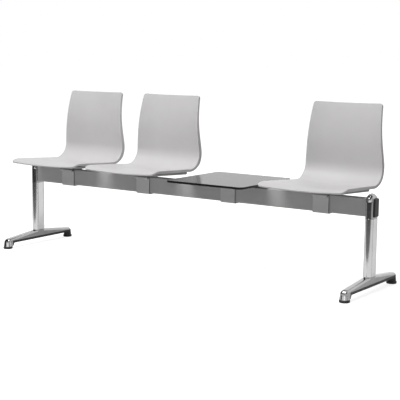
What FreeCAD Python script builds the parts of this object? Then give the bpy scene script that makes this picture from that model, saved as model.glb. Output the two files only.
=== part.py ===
import FreeCAD, Part
import math
import os

import Sketcher
from FreeCAD import Placement, Rotation, Vector

# Beam seating: three plastic seats and one table on a steel beam with two aluminium legs.
# Millimetres. X runs along the beam, Y towards the back, Z up. The origin is on the floor,
# under the middle of the beam.

doc = FreeCAD.newDocument("beam_seating")
sheet = doc.addObject("Spreadsheet::Sheet", "sizes")

DRIVING_SIZES = {
    # beam: rectangular steel tube with a plastic cap in each end
    "beam_length": 1980,
    "beam_height": 80,
    "beam_depth": 40,
    "beam_wall": 3,
    "beam_corner": 4,
    "beam_underside": 334,
    "cap_head": 11,
    "cap_plug": 24,
    "cap_wall": 3,
    "cap_clearance": 0.3,
    "cap_rounding": 3,
    # places along the beam: two inner ones and two outer ones
    "inner_place": 250,
    "outer_place": 740,
    # strap clamp under the beam and its bolts
    "strap_width": 80,
    "strap_plate": 5,
    "strap_clearance": 0.5,
    "strap_pull": 1.5,
    "strap_ear": 16.5,
    "strap_bolt_inset": 8,
    "strap_bolt_spacing": 56,
    "strap_bolt": 8,
    "strap_bolt_flats": 13,
    "strap_bolt_head": 5.5,
    "strap_nut": 5,
    "bolt_clearance": 0.5,
    "thread_clearance": 0.05,
    # carrier on top of the beam
    "carrier_width": 84,
    "carrier_overhang": 1,
    "carrier_base": 6,
    "carrier_boss_width": 72,
    "carrier_boss_depth": 44,
    "carrier_wall": 5,
    "frame_screw": 6,
    "frame_screw_x": 24,
    "frame_screw_y": 12,
    "button_head": 3,
    # pressed seat frame; its places are measured along the slope of the pan
    "pan_slope": 3.2,
    "seat_rise": 16,
    "frame_width": 336,
    "frame_front": 150,
    "frame_rear": 122,
    "frame_plate": 3,
    "frame_lip": 11.5,
    "frame_corner": 14,
    "frame_edge": 5,
    "shell_screw": 5,
    "shell_screw_x": 110,
    "shell_screw_front": 90,
    "shell_screw_rear": 70,
    # plastic shell, measured along its side edge
    "pan_edge_rise": 46,
    "front_width": 428,
    "pan_rear_width": 396,
    "back_foot_width": 390,
    "back_top_width": 344,
    "front_reach": 225,
    "front_bow": 6,
    "front_bow_length": 110,
    "waterfall_start": 166,
    "waterfall_radius": 120,
    "bend_start": 100,
    "bend_radius": 75,
    "lumbar_lean": 3.4,
    "lumbar_straight": 57,
    "back_curve_radius": 570,
    "back_top_rise": 396,
    "top_crown": 4,
    "front_dish": 5,
    "pan_dish": 12,
    "bend_dish": 14,
    "back_hollow": 22,
    "shell_wall": 7,
    "shell_rim": 14,
    "front_rim": 9,
    "bend_rim": 22,
    "front_corner": 25,
    "top_corner": 12,
    "shell_boss": 18,
    # table
    "table_width": 420,
    "table_front": 235,
    "table_rear": 207,
    "table_thickness": 10,
    "table_rise": 16,
    "table_corner": 25,
    "table_plate": 4,
    "table_plate_width": 220,
    "table_plate_depth": 260,
    "table_screw_x": 90,
    "table_screw_y": 110,
    # legs
    "leg_inset": 15,
    "saddle_step": 0.5,
    "saddle_web": 8,
    "saddle_dome": 21,
    "saddle_clearance": 0.3,
    "set_screw": 10,
    "set_screw_angle": 50,
    "set_screw_length": 13,
    "set_screw_socket": 5,
    "column_width": 38.5,
    "column_depth": 75,
    "column_wall": 3.5,
    "groove_width": 2,
    "groove_depth": 1.2,
    "tie_rod": 12,
    "tie_rod_flats": 19,
    "tie_rod_head": 7,
    # foot casting, undertray and glides
    "glide_reach": 230,
    "foot_width": 36,
    "foot_seat": 73.5,
    "foot_ridge": 74.8,
    "foot_end": 49.5,
    "foot_underline": 40,
    "foot_edge": 11,
    "foot_nose": 16,
    "foot_cavity_reach": 204,
    "foot_cavity": 8,
    "foot_wall": 4,
    "toe_rear": 211,
    "toe_flare": 4.5,
    "tray_underline": 28,
    "tray_heel": 13,
    "tray_clearance": 0.3,
    "heel_flare": 2.5,
    "glide_radius": 23.5,
    "glide_height": 12,
    "glide_gap": 0.3,
    "glide_bevel": 2,
    "stem": 10,
    "stem_top": 46,
    "stem_clearance": 0.06,
}

for row, (alias, number) in enumerate(DRIVING_SIZES.items(), start=1):
    sheet.set("A%d" % row, alias)
    sheet.set("B%d" % row, str(number))
    sheet.setAlias("B%d" % row, alias)
doc.recompute()

parts = []


def size(alias):
    """One driving dimension, read from the sheet."""
    return float(sheet.get(alias))


def value(expression):
    """The number that an expression on the sheet gives."""
    number = sheet.evalExpression(expression)
    return float(getattr(number, "Value", number))


# Heights and reaches that several pieces share, as expressions on the sheet.
BEAM_TOP = "(sizes.beam_underside + sizes.beam_height)"
HALF_DEPTH = "(sizes.beam_depth / 2)"
HALF_LENGTH = "(sizes.beam_length / 2)"
STRAP_INNER = "(sizes.beam_depth / 2 + sizes.strap_clearance)"
STRAP_OUTER = "(sizes.beam_depth / 2 + sizes.strap_clearance + sizes.strap_plate)"
EAR_TOP = "(sizes.beam_underside + sizes.beam_height - sizes.strap_pull)"
EAR_REACH = "(%s + sizes.strap_ear)" % STRAP_OUTER
BOLT_LINE = "(%s + sizes.strap_bolt_inset)" % STRAP_OUTER
CARRIER_REACH = "(%s + sizes.carrier_overhang)" % EAR_REACH
FOOT_TIP = "(sizes.glide_reach + sizes.foot_width / 2)"
LEG_PLACE = "(sizes.beam_length / 2 - sizes.leg_inset)"
SADDLE_WIDTH = "(sizes.column_width - 2 * sizes.saddle_step)"
SADDLE_DEPTH = "(sizes.column_depth - 2 * sizes.saddle_step)"
SADDLE_BASE = "(sizes.beam_underside - sizes.saddle_web)"


def new_body(label):
    """An empty body under its node's name."""
    body = doc.addObject("PartDesign::Body", label)
    body.Label = label
    parts.append(body)
    return body


def new_sketch(body, role, height=None):
    """A sketch on one of the body's own origin planes, lifted along the plane's normal."""
    sketch = body.newObject("Sketcher::SketchObject", body.Label + "_sketch")
    plane = next(item for item in body.Origin.OriginFeatures if item.Role == role)
    sketch.AttachmentSupport = [(plane, "")]
    sketch.MapMode = "FlatFace"
    if height is not None:
        sketch.setExpression("AttachmentOffset.Base.z", height)
    return sketch


def place_point(sketch, geometry, position, x, y):
    """Tie a point of the sketch to two expressions, both measured from the origin."""
    for kind, expression in (("DistanceX", x), ("DistanceY", y)):
        number = sketch.addConstraint(
            Sketcher.Constraint(kind, -1, 1, geometry, position, value(expression))
        )
        sketch.setExpression("Constraints[%d]" % number, expression)


def draw_outline(sketch, corners):
    """A closed outline of straight lines through corners given as pairs of expressions."""
    points = [Vector(value(x), value(y), 0) for x, y in corners]
    first = sketch.GeometryCount
    for start, end in zip(points, points[1:] + points[:1]):
        sketch.addGeometry(Part.LineSegment(start, end), False)
    for index, (x, y) in enumerate(corners):
        follower = (index + 1) % len(corners)
        sketch.addConstraint(
            Sketcher.Constraint("Coincident", first + index, 2, first + follower, 1)
        )
        place_point(sketch, first + index, 1, x, y)
    return sketch


def draw_rectangle(sketch, left, right, bottom, top):
    """An upright rectangle between four expressions."""
    return draw_outline(sketch, [(left, bottom), (right, bottom), (right, top), (left, top)])


def draw_circle(sketch, x, y, radius):
    """A circle with its centre and radius tied to expressions."""
    circle = sketch.addGeometry(
        Part.Circle(Vector(value(x), value(y), 0), Vector(0, 0, 1), value(radius)), False
    )
    place_point(sketch, circle, 3, x, y)
    number = sketch.addConstraint(Sketcher.Constraint("Radius", circle, value(radius)))
    sketch.setExpression("Constraints[%d]" % number, radius)


def draw_stadium(sketch, width, depth):
    """Two straight sides along Y joined by two half rounds."""
    radius = "(%s) / 2" % width
    reach = "((%s) - (%s)) / 2" % (depth, width)
    rounding = value(radius)
    straight = value(reach)
    sides = []
    for side in (1, -1):
        start = Vector(side * rounding, -side * straight, 0)
        end = Vector(side * rounding, side * straight, 0)
        sides.append(sketch.addGeometry(Part.LineSegment(start, end), False))
        centre = Part.Circle(Vector(0, side * straight, 0), Vector(0, 0, 1), rounding)
        first = 0 if side == 1 else math.pi
        arc = Part.ArcOfCircle(centre, first, first + math.pi)
        sides.append(sketch.addGeometry(arc, False))
    for index, geometry in enumerate(sides):
        follower = sides[(index + 1) % len(sides)]
        sketch.addConstraint(Sketcher.Constraint("Tangent", geometry, 2, follower, 1))
    for arc, sign in ((sides[1], ""), (sides[3], "-")):
        place_point(sketch, arc, 3, "0", sign + "(" + reach + ")")
    number = sketch.addConstraint(Sketcher.Constraint("Radius", sides[1], rounding))
    sketch.setExpression("Constraints[%d]" % number, radius)
    return sketch


def draw_half_stadium(sketch, width, depth):
    """The half of a stadium that lies behind the origin's X axis."""
    side = "(%s) / 2" % width
    reach = "((%s) - (%s)) / 2" % (depth, width)
    corners = [("-" + side, reach), ("-" + side, "0"), (side, "0"), (side, reach)]
    points = [Vector(value(x), value(y), 0) for x, y in corners]
    lines = [
        sketch.addGeometry(Part.LineSegment(start, end), False)
        for start, end in zip(points, points[1:])
    ]
    centre = Part.Circle(Vector(0, value(reach), 0), Vector(0, 0, 1), value(side))
    arc = sketch.addGeometry(Part.ArcOfCircle(centre, 0, math.pi), False)
    for line, (x, y) in zip(lines, corners):
        place_point(sketch, line, 1, x, y)
    place_point(sketch, lines[-1], 2, *corners[-1])
    for first, second in zip(lines, lines[1:]):
        sketch.addConstraint(Sketcher.Constraint("Coincident", first, 2, second, 1))
    sketch.addConstraint(Sketcher.Constraint("Coincident", lines[-1], 2, arc, 1))
    sketch.addConstraint(Sketcher.Constraint("Coincident", arc, 2, lines[0], 1))
    number = sketch.addConstraint(Sketcher.Constraint("DistanceY", -1, 1, arc, 3, value(reach)))
    sketch.setExpression("Constraints[%d]" % number, reach)
    return sketch


def pad(body, sketch, length, both_ways=False, backwards=False):
    """Add the sketch's outline as solid material."""
    feature = body.newObject("PartDesign::Pad", body.Label + "_pad")
    feature.Profile = sketch
    feature.setExpression("Length", length)
    feature.Midplane = both_ways
    feature.Reversed = backwards
    doc.recompute()
    return feature


def cut(body, sketch, length, both_ways=False, upwards=False):
    """Remove the sketch's outline, and refuse a cut that removes nothing."""
    before = body.Shape.Volume
    feature = body.newObject("PartDesign::Pocket", body.Label + "_cut")
    feature.Profile = sketch
    feature.setExpression("Length", length)
    feature.Midplane = both_ways
    feature.Reversed = upwards
    doc.recompute()
    if not body.Shape.Volume < before - 0.001:
        raise RuntimeError("a cut in %s removes nothing" % body.Label)
    return feature


def round_edges(body, chosen, radius):
    """Fillet the edges of the body's present shape that the test picks."""
    base = body.Tip
    names = [
        "Edge%d" % (index + 1)
        for index, edge in enumerate(base.Shape.Edges)
        if chosen(edge)
    ]
    if not names:
        raise RuntimeError("no edge to round in %s" % body.Label)
    feature = body.newObject("PartDesign::Fillet", body.Label + "_fillet")
    feature.Base = (base, names)
    feature.setExpression("Radius", radius)
    doc.recompute()
    return feature


def press_hollow(body, open_height, wall):
    """Hollow the body to an even wall, open at the face that lies at the given height."""
    base = body.Tip
    names = [
        "Face%d" % (index + 1)
        for index, face in enumerate(base.Shape.Faces)
        if face.BoundBox.ZMin > open_height - 1e-4
    ]
    feature = body.newObject("PartDesign::Thickness", body.Label + "_hollow")
    feature.Base = (base, names)
    feature.Reversed = True
    feature.setExpression("Value", wall)
    doc.recompute()
    if not body.Shape.Volume < base.Shape.Volume - 0.001:
        raise RuntimeError("hollowing %s removes nothing" % body.Label)


def runs_along(edge, axis):
    """True for a straight edge in line with the given axis."""
    if edge.Curve.TypeId != "Part::GeomLine":
        return False
    return abs(abs(edge.Curve.Direction.dot(axis)) - 1) < 1e-6


def at_height(edge, height):
    """True for an edge that lies wholly at one height."""
    return abs(edge.BoundBox.ZMin - height) < 1e-4 and abs(edge.BoundBox.ZMax - height) < 1e-4


def new_group(label, solids):
    """Several separate solids, or one made with Part's own functions, under one node's name."""
    feature = doc.addObject("Part::Feature", label)
    feature.Label = label
    feature.Shape = solids[0] if len(solids) == 1 else Part.Compound(solids)
    parts.append(feature)
    return feature


def hexagon(flats, height, base):
    """A hexagonal prism standing on its base point."""
    corner_radius = flats / math.sqrt(3)
    corners = [
        base + Vector(corner_radius * math.cos(angle), corner_radius * math.sin(angle), 0)
        for angle in [math.radians(60 * side) for side in range(7)]
    ]
    return Part.Face(Part.makePolygon(corners)).extrude(Vector(0, 0, height))


def cylinder(radius, height, base):
    """An upright round bar standing on its base point."""
    return Part.makeCylinder(radius, height, base)


def make_beam_tube():
    """Welded steel tube, open at both ends."""
    body = new_body("beam_tube")
    outside = draw_rectangle(
        new_sketch(body, "YZ_Plane"), "-" + HALF_DEPTH, HALF_DEPTH, "sizes.beam_underside", BEAM_TOP
    )
    pad(body, outside, "sizes.beam_length", both_ways=True)
    round_edges(body, lambda edge: runs_along(edge, Vector(1, 0, 0)), "sizes.beam_corner")
    inside = draw_rectangle(
        new_sketch(body, "YZ_Plane"),
        "-(%s - sizes.beam_wall)" % HALF_DEPTH,
        "%s - sizes.beam_wall" % HALF_DEPTH,
        "sizes.beam_underside + sizes.beam_wall",
        BEAM_TOP + " - sizes.beam_wall",
    )
    cut(body, inside, "sizes.beam_length + 2", both_ways=True)


def make_end_cap(label, turned):
    """Moulded plastic cap: a head flush with the tube and a hollow plug inside it."""
    body = new_body(label)
    head = draw_rectangle(
        new_sketch(body, "YZ_Plane", HALF_LENGTH),
        "-" + HALF_DEPTH,
        HALF_DEPTH,
        "sizes.beam_underside",
        BEAM_TOP,
    )
    pad(body, head, "sizes.cap_head")
    round_edges(body, lambda edge: runs_along(edge, Vector(1, 0, 0)), "sizes.beam_corner")
    outer_face = size("beam_length") / 2 + size("cap_head")
    round_edges(body, lambda edge: abs(edge.BoundBox.XMin - outer_face) < 1e-4, "sizes.cap_rounding")
    inset = "(sizes.beam_wall + sizes.cap_clearance)"
    plug = draw_rectangle(
        new_sketch(body, "YZ_Plane", HALF_LENGTH),
        "-(%s - %s)" % (HALF_DEPTH, inset),
        "%s - %s" % (HALF_DEPTH, inset),
        "sizes.beam_underside + " + inset,
        BEAM_TOP + " - " + inset,
    )
    pad(body, plug, "sizes.cap_plug", backwards=True)
    wall = "(sizes.beam_wall + sizes.cap_clearance + sizes.cap_wall)"
    hollow = draw_rectangle(
        new_sketch(body, "YZ_Plane", HALF_LENGTH + " - sizes.cap_plug"),
        "-(%s - %s)" % (HALF_DEPTH, wall),
        "%s - %s" % (HALF_DEPTH, wall),
        "sizes.beam_underside + " + wall,
        BEAM_TOP + " - " + wall,
    )
    cut(body, hollow, "sizes.cap_plug + sizes.cap_head - sizes.cap_wall", upwards=True)
    body.Placement = Placement(Vector(0, 0, 0), Rotation(Vector(0, 0, 1), 180 if turned else 0))


def make_strap(label, place):
    """Bent steel strap: up both sides of the beam, with an ear turned out at each end."""
    body = new_body(label)
    profile = draw_outline(
        new_sketch(body, "YZ_Plane"),
        [
            ("-" + EAR_REACH, EAR_TOP),
            ("-" + STRAP_INNER, EAR_TOP),
            ("-" + STRAP_INNER, "sizes.beam_underside"),
            (STRAP_INNER, "sizes.beam_underside"),
            (STRAP_INNER, EAR_TOP),
            (EAR_REACH, EAR_TOP),
            (EAR_REACH, EAR_TOP + " - sizes.strap_plate"),
            (STRAP_OUTER, EAR_TOP + " - sizes.strap_plate"),
            (STRAP_OUTER, "sizes.beam_underside - sizes.strap_plate"),
            ("-" + STRAP_OUTER, "sizes.beam_underside - sizes.strap_plate"),
            ("-" + STRAP_OUTER, EAR_TOP + " - sizes.strap_plate"),
            ("-" + EAR_REACH, EAR_TOP + " - sizes.strap_plate"),
        ],
    )
    pad(body, profile, "sizes.strap_width", both_ways=True)
    outer_bottom = size("beam_underside") - size("strap_plate")
    round_edges(
        body,
        lambda edge: runs_along(edge, Vector(1, 0, 0)) and at_height(edge, outer_bottom),
        "sizes.strap_plate",
    )
    ear_top = value(EAR_TOP)
    inner = value(STRAP_INNER)
    round_edges(
        body,
        lambda edge: runs_along(edge, Vector(1, 0, 0))
        and at_height(edge, ear_top)
        and abs(abs(edge.BoundBox.YMin) - inner) < 1e-4,
        "sizes.strap_plate * 0.8",
    )
    holes = new_sketch(body, "XY_Plane", EAR_TOP)
    for x_sign in ("", "-"):
        for y_sign in ("", "-"):
            draw_circle(
                holes,
                x_sign + "sizes.strap_bolt_spacing / 2",
                y_sign + BOLT_LINE,
                "sizes.strap_bolt / 2 + sizes.bolt_clearance",
            )
    cut(body, holes, "sizes.strap_plate + 1")
    body.setExpression("Placement.Base.x", place)


def make_strap_bolts(label, place_x):
    """Four hex bolts, heads under the strap's ears, each with its nut on the carrier."""
    ear_bottom = value(EAR_TOP) - size("strap_plate")
    carrier_top = value(BEAM_TOP) + size("carrier_base")
    bolt_line = value(BOLT_LINE)
    radius = size("strap_bolt") / 2
    solids = []
    for x in (-size("strap_bolt_spacing") / 2, size("strap_bolt_spacing") / 2):
        for y in (-bolt_line, bolt_line):
            head = hexagon(
                size("strap_bolt_flats"),
                size("strap_bolt_head"),
                Vector(x, y, ear_bottom - size("strap_bolt_head")),
            )
            shank_length = carrier_top + size("strap_nut") - ear_bottom + size("bolt_clearance")
            shank = cylinder(radius, shank_length, Vector(x, y, ear_bottom))
            solids.append(head.fuse(shank).removeSplitter())
            nut = hexagon(size("strap_bolt_flats"), size("strap_nut"), Vector(x, y, carrier_top))
            bore = cylinder(
                radius + size("thread_clearance"), size("strap_nut"), Vector(x, y, carrier_top)
            )
            solids.append(nut.cut(bore))
    group = new_group(label, solids)
    group.Placement = Placement(Vector(place_x, 0, 0), Rotation())


def make_carrier(label, place, rise, slope):
    """Cast carrier: a flat base on the beam and a hollow boss up to what it carries."""
    body = new_body(label)
    base = draw_rectangle(
        new_sketch(body, "XY_Plane", BEAM_TOP),
        "-sizes.carrier_width / 2",
        "sizes.carrier_width / 2",
        "-" + CARRIER_REACH,
        CARRIER_REACH,
    )
    pad(body, base, "sizes.carrier_base")
    round_edges(body, lambda edge: runs_along(edge, Vector(0, 0, 1)), "sizes.carrier_wall")
    drop = "sizes.carrier_boss_depth / 2 * tan((%s) * 1 deg)" % slope
    boss = draw_outline(
        new_sketch(body, "YZ_Plane"),
        [
            ("-sizes.carrier_boss_depth / 2", BEAM_TOP),
            ("sizes.carrier_boss_depth / 2", BEAM_TOP),
            ("sizes.carrier_boss_depth / 2", "%s + %s - %s" % (BEAM_TOP, rise, drop)),
            ("-sizes.carrier_boss_depth / 2", "%s + %s + %s" % (BEAM_TOP, rise, drop)),
        ],
    )
    pad(body, boss, "sizes.carrier_boss_width", both_ways=True)
    hollow = draw_rectangle(
        new_sketch(body, "XY_Plane", BEAM_TOP),
        "-(sizes.carrier_boss_width / 2 - sizes.carrier_wall)",
        "sizes.carrier_boss_width / 2 - sizes.carrier_wall",
        "-(sizes.carrier_boss_depth / 2 - sizes.carrier_wall)",
        "sizes.carrier_boss_depth / 2 - sizes.carrier_wall",
    )
    cut(body, hollow, "%s - %s - sizes.carrier_wall" % (rise, drop), upwards=True)
    bolt_holes = new_sketch(body, "XY_Plane", BEAM_TOP + " + sizes.carrier_base")
    for x_sign in ("", "-"):
        for y_sign in ("", "-"):
            draw_circle(
                bolt_holes,
                x_sign + "sizes.strap_bolt_spacing / 2",
                y_sign + BOLT_LINE,
                "sizes.strap_bolt / 2 + sizes.bolt_clearance",
            )
    cut(body, bolt_holes, "sizes.carrier_base + 1")
    body.setExpression("Placement.Base.x", place)
    return body


def drill(solid, radius, start, direction, length):
    """The solid with a round hole through it."""
    return solid.cut(Part.makeCylinder(radius, length, start, direction))


def pan_placement(place_x):
    """The tilted frame of the seat pan: its origin is on the carrier, above the beam's middle."""
    height = value(BEAM_TOP) + size("seat_rise")
    return Placement(Vector(place_x, 0, height), Rotation(Vector(1, 0, 0), -size("pan_slope")))


def make_seat_frame(label, place_x):
    """Pressed steel tray under the pan, its rim turned up to the shell."""
    body = new_body(label)
    outside = draw_rectangle(
        new_sketch(body, "XY_Plane"),
        "-sizes.frame_width / 2",
        "sizes.frame_width / 2",
        "-sizes.frame_front",
        "sizes.frame_rear",
    )
    pad(body, outside, "sizes.frame_lip")
    round_edges(body, lambda edge: runs_along(edge, Vector(0, 0, 1)), "sizes.frame_corner")
    round_edges(body, lambda edge: at_height(edge, 0), "sizes.frame_edge")
    press_hollow(body, size("frame_lip"), "sizes.frame_plate")
    holes = new_sketch(body, "XY_Plane", "sizes.frame_plate")
    for x_sign in ("", "-"):
        for y_sign in ("", "-"):
            draw_circle(
                holes,
                x_sign + "sizes.frame_screw_x",
                y_sign + "sizes.frame_screw_y",
                "sizes.frame_screw / 2 + sizes.thread_clearance",
            )
        for y in ("-sizes.shell_screw_front", "sizes.shell_screw_rear"):
            draw_circle(
                holes,
                x_sign + "sizes.shell_screw_x",
                y,
                "sizes.shell_screw / 2 + sizes.thread_clearance",
            )
    cut(body, holes, "sizes.frame_plate + 1")
    body.Placement = pan_placement(place_x)


def button_screw(shank_radius, shank_length, head_height, top):
    """A button-head screw that points down from the plate its head lies on."""
    head = Part.makeCone(2 * shank_radius, 1.4 * shank_radius, head_height, top)
    shank = cylinder(shank_radius, shank_length, top - Vector(0, 0, shank_length))
    return head.fuse(shank).removeSplitter()


def make_frame_screws(label, place_x):
    """Four screws that hold the seat frame down on its carrier."""
    radius = size("frame_screw") / 2
    length = size("frame_plate") + size("carrier_wall")
    solids = [
        button_screw(radius, length, size("button_head"), Vector(x, y, size("frame_plate")))
        for x in (-size("frame_screw_x"), size("frame_screw_x"))
        for y in (-size("frame_screw_y"), size("frame_screw_y"))
    ]
    group = new_group(label, solids)
    group.Placement = pan_placement(place_x)


def drill_carrier_for_frame(body):
    """Threaded holes in the carrier's boss, square to the sloping pan."""
    radius = size("frame_screw") / 2 + size("thread_clearance")
    for x in (-size("frame_screw_x"), size("frame_screw_x")):
        for y in (-size("frame_screw_y"), size("frame_screw_y")):
            hole = body.newObject("PartDesign::SubtractiveCylinder", body.Label + "_hole")
            hole.Radius = radius
            hole.Height = 3 * size("carrier_wall")
            tilt = Rotation(Vector(1, 0, 0), -size("pan_slope"))
            centre = tilt.multVec(Vector(x, y, -2 * size("carrier_wall")))
            height = value(BEAM_TOP) + size("seat_rise")
            hole.Placement = Placement(centre + Vector(0, 0, height), tilt)
            doc.recompute()


def blend(start, end, share):
    """A value that eases from start to end as share goes from 0 to 1."""
    share = min(max(share, 0.0), 1.0)
    return start + (end - start) * share * share * (3 - 2 * share)


def shell_stations():
    """Stations along the shell's side edge, each with its place, direction and section sizes.

    Front to back: an arc over the waterfall, the straight slope of the pan, the bend, the
    straight foot of the back, and an arc that leans the top of the back away.
    """
    slope = -math.radians(size("pan_slope"))
    upright = math.radians(90 + size("lumbar_lean"))
    edge_height = value(BEAM_TOP) + size("pan_edge_rise")
    stations = []

    radius = size("waterfall_radius")
    start_y = -size("waterfall_start")
    start_z = edge_height + start_y * math.tan(slope)
    tip = math.asin(math.sin(slope) + (size("front_reach") - size("waterfall_start")) / radius)
    for step in range(5):
        angle = tip + (slope - tip) * step / 4
        y = start_y + radius * (math.sin(slope) - math.sin(angle))
        z = start_z + radius * (math.cos(angle) - math.cos(slope))
        stations.append((y, z, angle))

    bend_y = size("bend_start")
    for step in range(1, 6):
        y = start_y + (bend_y - start_y) * step / 6
        stations.append((y, edge_height + y * math.tan(slope), slope))

    radius = size("bend_radius")
    bend_z = edge_height + bend_y * math.tan(slope)
    for step in range(7):
        angle = slope + (upright - slope) * step / 6
        y = bend_y + radius * (math.sin(angle) - math.sin(slope))
        z = bend_z + radius * (math.cos(slope) - math.cos(angle))
        stations.append((y, z, angle))

    foot_y, foot_z = stations[-1][:2]
    curve_y = foot_y + size("lumbar_straight") * math.cos(upright)
    curve_z = foot_z + size("lumbar_straight") * math.sin(upright)
    radius = size("back_curve_radius")
    top_z = value(BEAM_TOP) + size("back_top_rise")
    top = math.acos(math.cos(upright) + (top_z - curve_z) / radius)
    for step in range(8):
        angle = upright + (top - upright) * step / 7
        y = curve_y - radius * (math.sin(angle) - math.sin(upright))
        z = curve_z + radius * (math.cos(angle) - math.cos(upright))
        stations.append((y, z, angle))

    shaped = []
    for y, z, angle in stations:
        along_pan = (y + size("front_reach")) / (bend_y + size("front_reach"))
        up_bend = (z - bend_z) / (foot_z - bend_z)
        up_back = (z - foot_z) / (top_z - foot_z)
        if angle <= 0 or y < start_y:
            width = size("front_width") + (size("pan_rear_width") - size("front_width")) * along_pan
            dish = blend(size("front_dish"), size("pan_dish"), along_pan * 2)
        elif up_back < 0:
            width = blend(size("pan_rear_width"), size("back_foot_width"), up_bend)
            dish = blend(size("pan_dish"), size("bend_dish"), up_bend)
        else:
            width = size("back_foot_width")
            width += (size("back_top_width") - size("back_foot_width")) * up_back
            dish = blend(size("bend_dish"), size("back_hollow"), up_back)
        bow = size("front_bow") * blend(1, 0, (y + size("front_reach")) / size("front_bow_length"))
        crown = size("top_crown") * blend(0, 1, up_back * 4 - 3)
        if y < bend_y and up_bend <= 0:
            rim = blend(size("front_rim"), size("shell_rim"), along_pan * 3)
        elif up_back < 0:
            rim = blend(size("shell_rim"), size("bend_rim"), up_bend * 2)
        else:
            rim = blend(size("bend_rim"), size("shell_rim"), up_back * 1.5)
        thickening = rim - size("shell_wall")
        shaped.append((y, z, angle, width / 2, dish, bow, crown, thickening))
    return shaped


def shell_row(station, below):
    """One row of points across the shell at a station, from its left edge to its right.

    Share runs from -1 to 1. The row sags by the station's dish and its middle is carried out
    by the bow or crown. A row below the shell's face lies a wall lower, and lower still
    towards the rim.
    """
    y, z, angle, half_width, dish, bow, crown, thickening = station
    row = []
    columns = 10
    for column in range(columns + 1):
        share = 2 * column / columns - 1
        sink = dish * (1 - share * share)
        if below:
            sink += size("shell_wall") + thickening * share ** 4
        slide = (crown - bow) * (1 - share * share)
        row.append(
            Vector(
                half_width * share,
                y + sink * math.sin(angle) + slide * math.cos(angle),
                z - sink * math.cos(angle) + slide * math.sin(angle),
            )
        )
    return row


def shell_surface(stations, below):
    """A smooth surface through the rows of all stations."""
    surface = Part.BSplineSurface()
    surface.interpolate([shell_row(station, below) for station in stations])
    return surface


def corner_cutter(corner, along_side, along_end, radius):
    """What rounding a corner takes away, square to the surface at that corner.

    The two other points lie on the edges that meet in the corner.
    """
    side = (along_side - corner).normalize()
    end = (along_end - corner).normalize()
    half_angle = side.getAngle(end) / 2
    middle = (side + end).normalize()
    normal = side.cross(end).normalize()
    centre = corner + middle * (radius / math.sin(half_angle))
    tangent_length = radius / math.tan(half_angle)
    depth = radius + size("bend_rim")
    outline = [
        centre,
        corner + side * tangent_length,
        corner - middle * radius,
        corner + end * tangent_length,
        centre,
    ]
    below = normal * -depth
    prism = Part.Face(Part.makePolygon([point + below for point in outline])).extrude(
        normal * 2 * depth
    )
    return prism.cut(Part.makeCylinder(radius, 2 * depth, centre + below, normal))


def make_shell(label, place_x):
    """One-piece plastic shell: dished pan, tight bend and hollow back, with screw bosses."""
    stations = shell_stations()
    face = shell_surface(stations, below=False)
    underside = shell_surface(stations, below=True)
    bounds = face.bounds()
    faces = [face.toShape(), underside.toShape()]
    for position in bounds[:2]:
        faces.append(
            Part.makeRuledSurface(
                face.uIso(position).toShape(), underside.uIso(position).toShape()
            )
        )
    for position in bounds[2:]:
        faces.append(
            Part.makeRuledSurface(
                face.vIso(position).toShape(), underside.vIso(position).toShape()
            )
        )
    skin = Part.Compound(faces)
    skin.sewShape(0.01)
    shell = Part.Solid(skin.Shells[0])
    if shell.Volume < 0:
        shell.reverse()

    for station, neighbour, radius in (
        (0, 1, size("front_corner")),
        (-1, -2, size("top_corner")),
    ):
        rows = [shell_row(stations[index], below=False) for index in (station, neighbour)]
        for end, inner in ((0, 1), (-1, -2)):
            corner = rows[0][end]
            shell = shell.cut(corner_cutter(corner, rows[1][end], rows[0][inner], radius))

    pan = pan_placement(0)
    boss_top = size("pan_edge_rise") - size("seat_rise") - size("pan_dish")
    for x in (-size("shell_screw_x"), size("shell_screw_x")):
        for y in (-size("shell_screw_front"), size("shell_screw_rear")):
            foot = Vector(x, y, size("frame_plate"))
            boss = cylinder(size("shell_boss") / 2, boss_top - size("frame_plate"), foot)
            pilot = cylinder(
                size("shell_screw") / 2 + size("thread_clearance"), boss_top - size("frame_plate"), foot
            )
            boss.Placement = pan.multiply(boss.Placement)
            pilot.Placement = pan.multiply(pilot.Placement)
            shell = shell.fuse(boss).cut(pilot)
    feature = new_group(label, [shell])
    feature.Placement = Placement(Vector(place_x, 0, 0), Rotation())


def make_shell_screws(label, place_x):
    """Four screws up through the seat frame into the shell's bosses."""
    radius = size("shell_screw") / 2
    length = size("pan_edge_rise") - size("seat_rise") - size("pan_dish") - 1
    solids = []
    for x in (-size("shell_screw_x"), size("shell_screw_x")):
        for y in (-size("shell_screw_front"), size("shell_screw_rear")):
            screw = button_screw(radius, length, size("button_head"), Vector(0, 0, 0))
            screw.rotate(Vector(0, 0, 0), Vector(1, 0, 0), 180)
            screw.translate(Vector(x, y, 0))
            solids.append(screw)
    group = new_group(label, solids)
    group.Placement = pan_placement(place_x)


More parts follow.
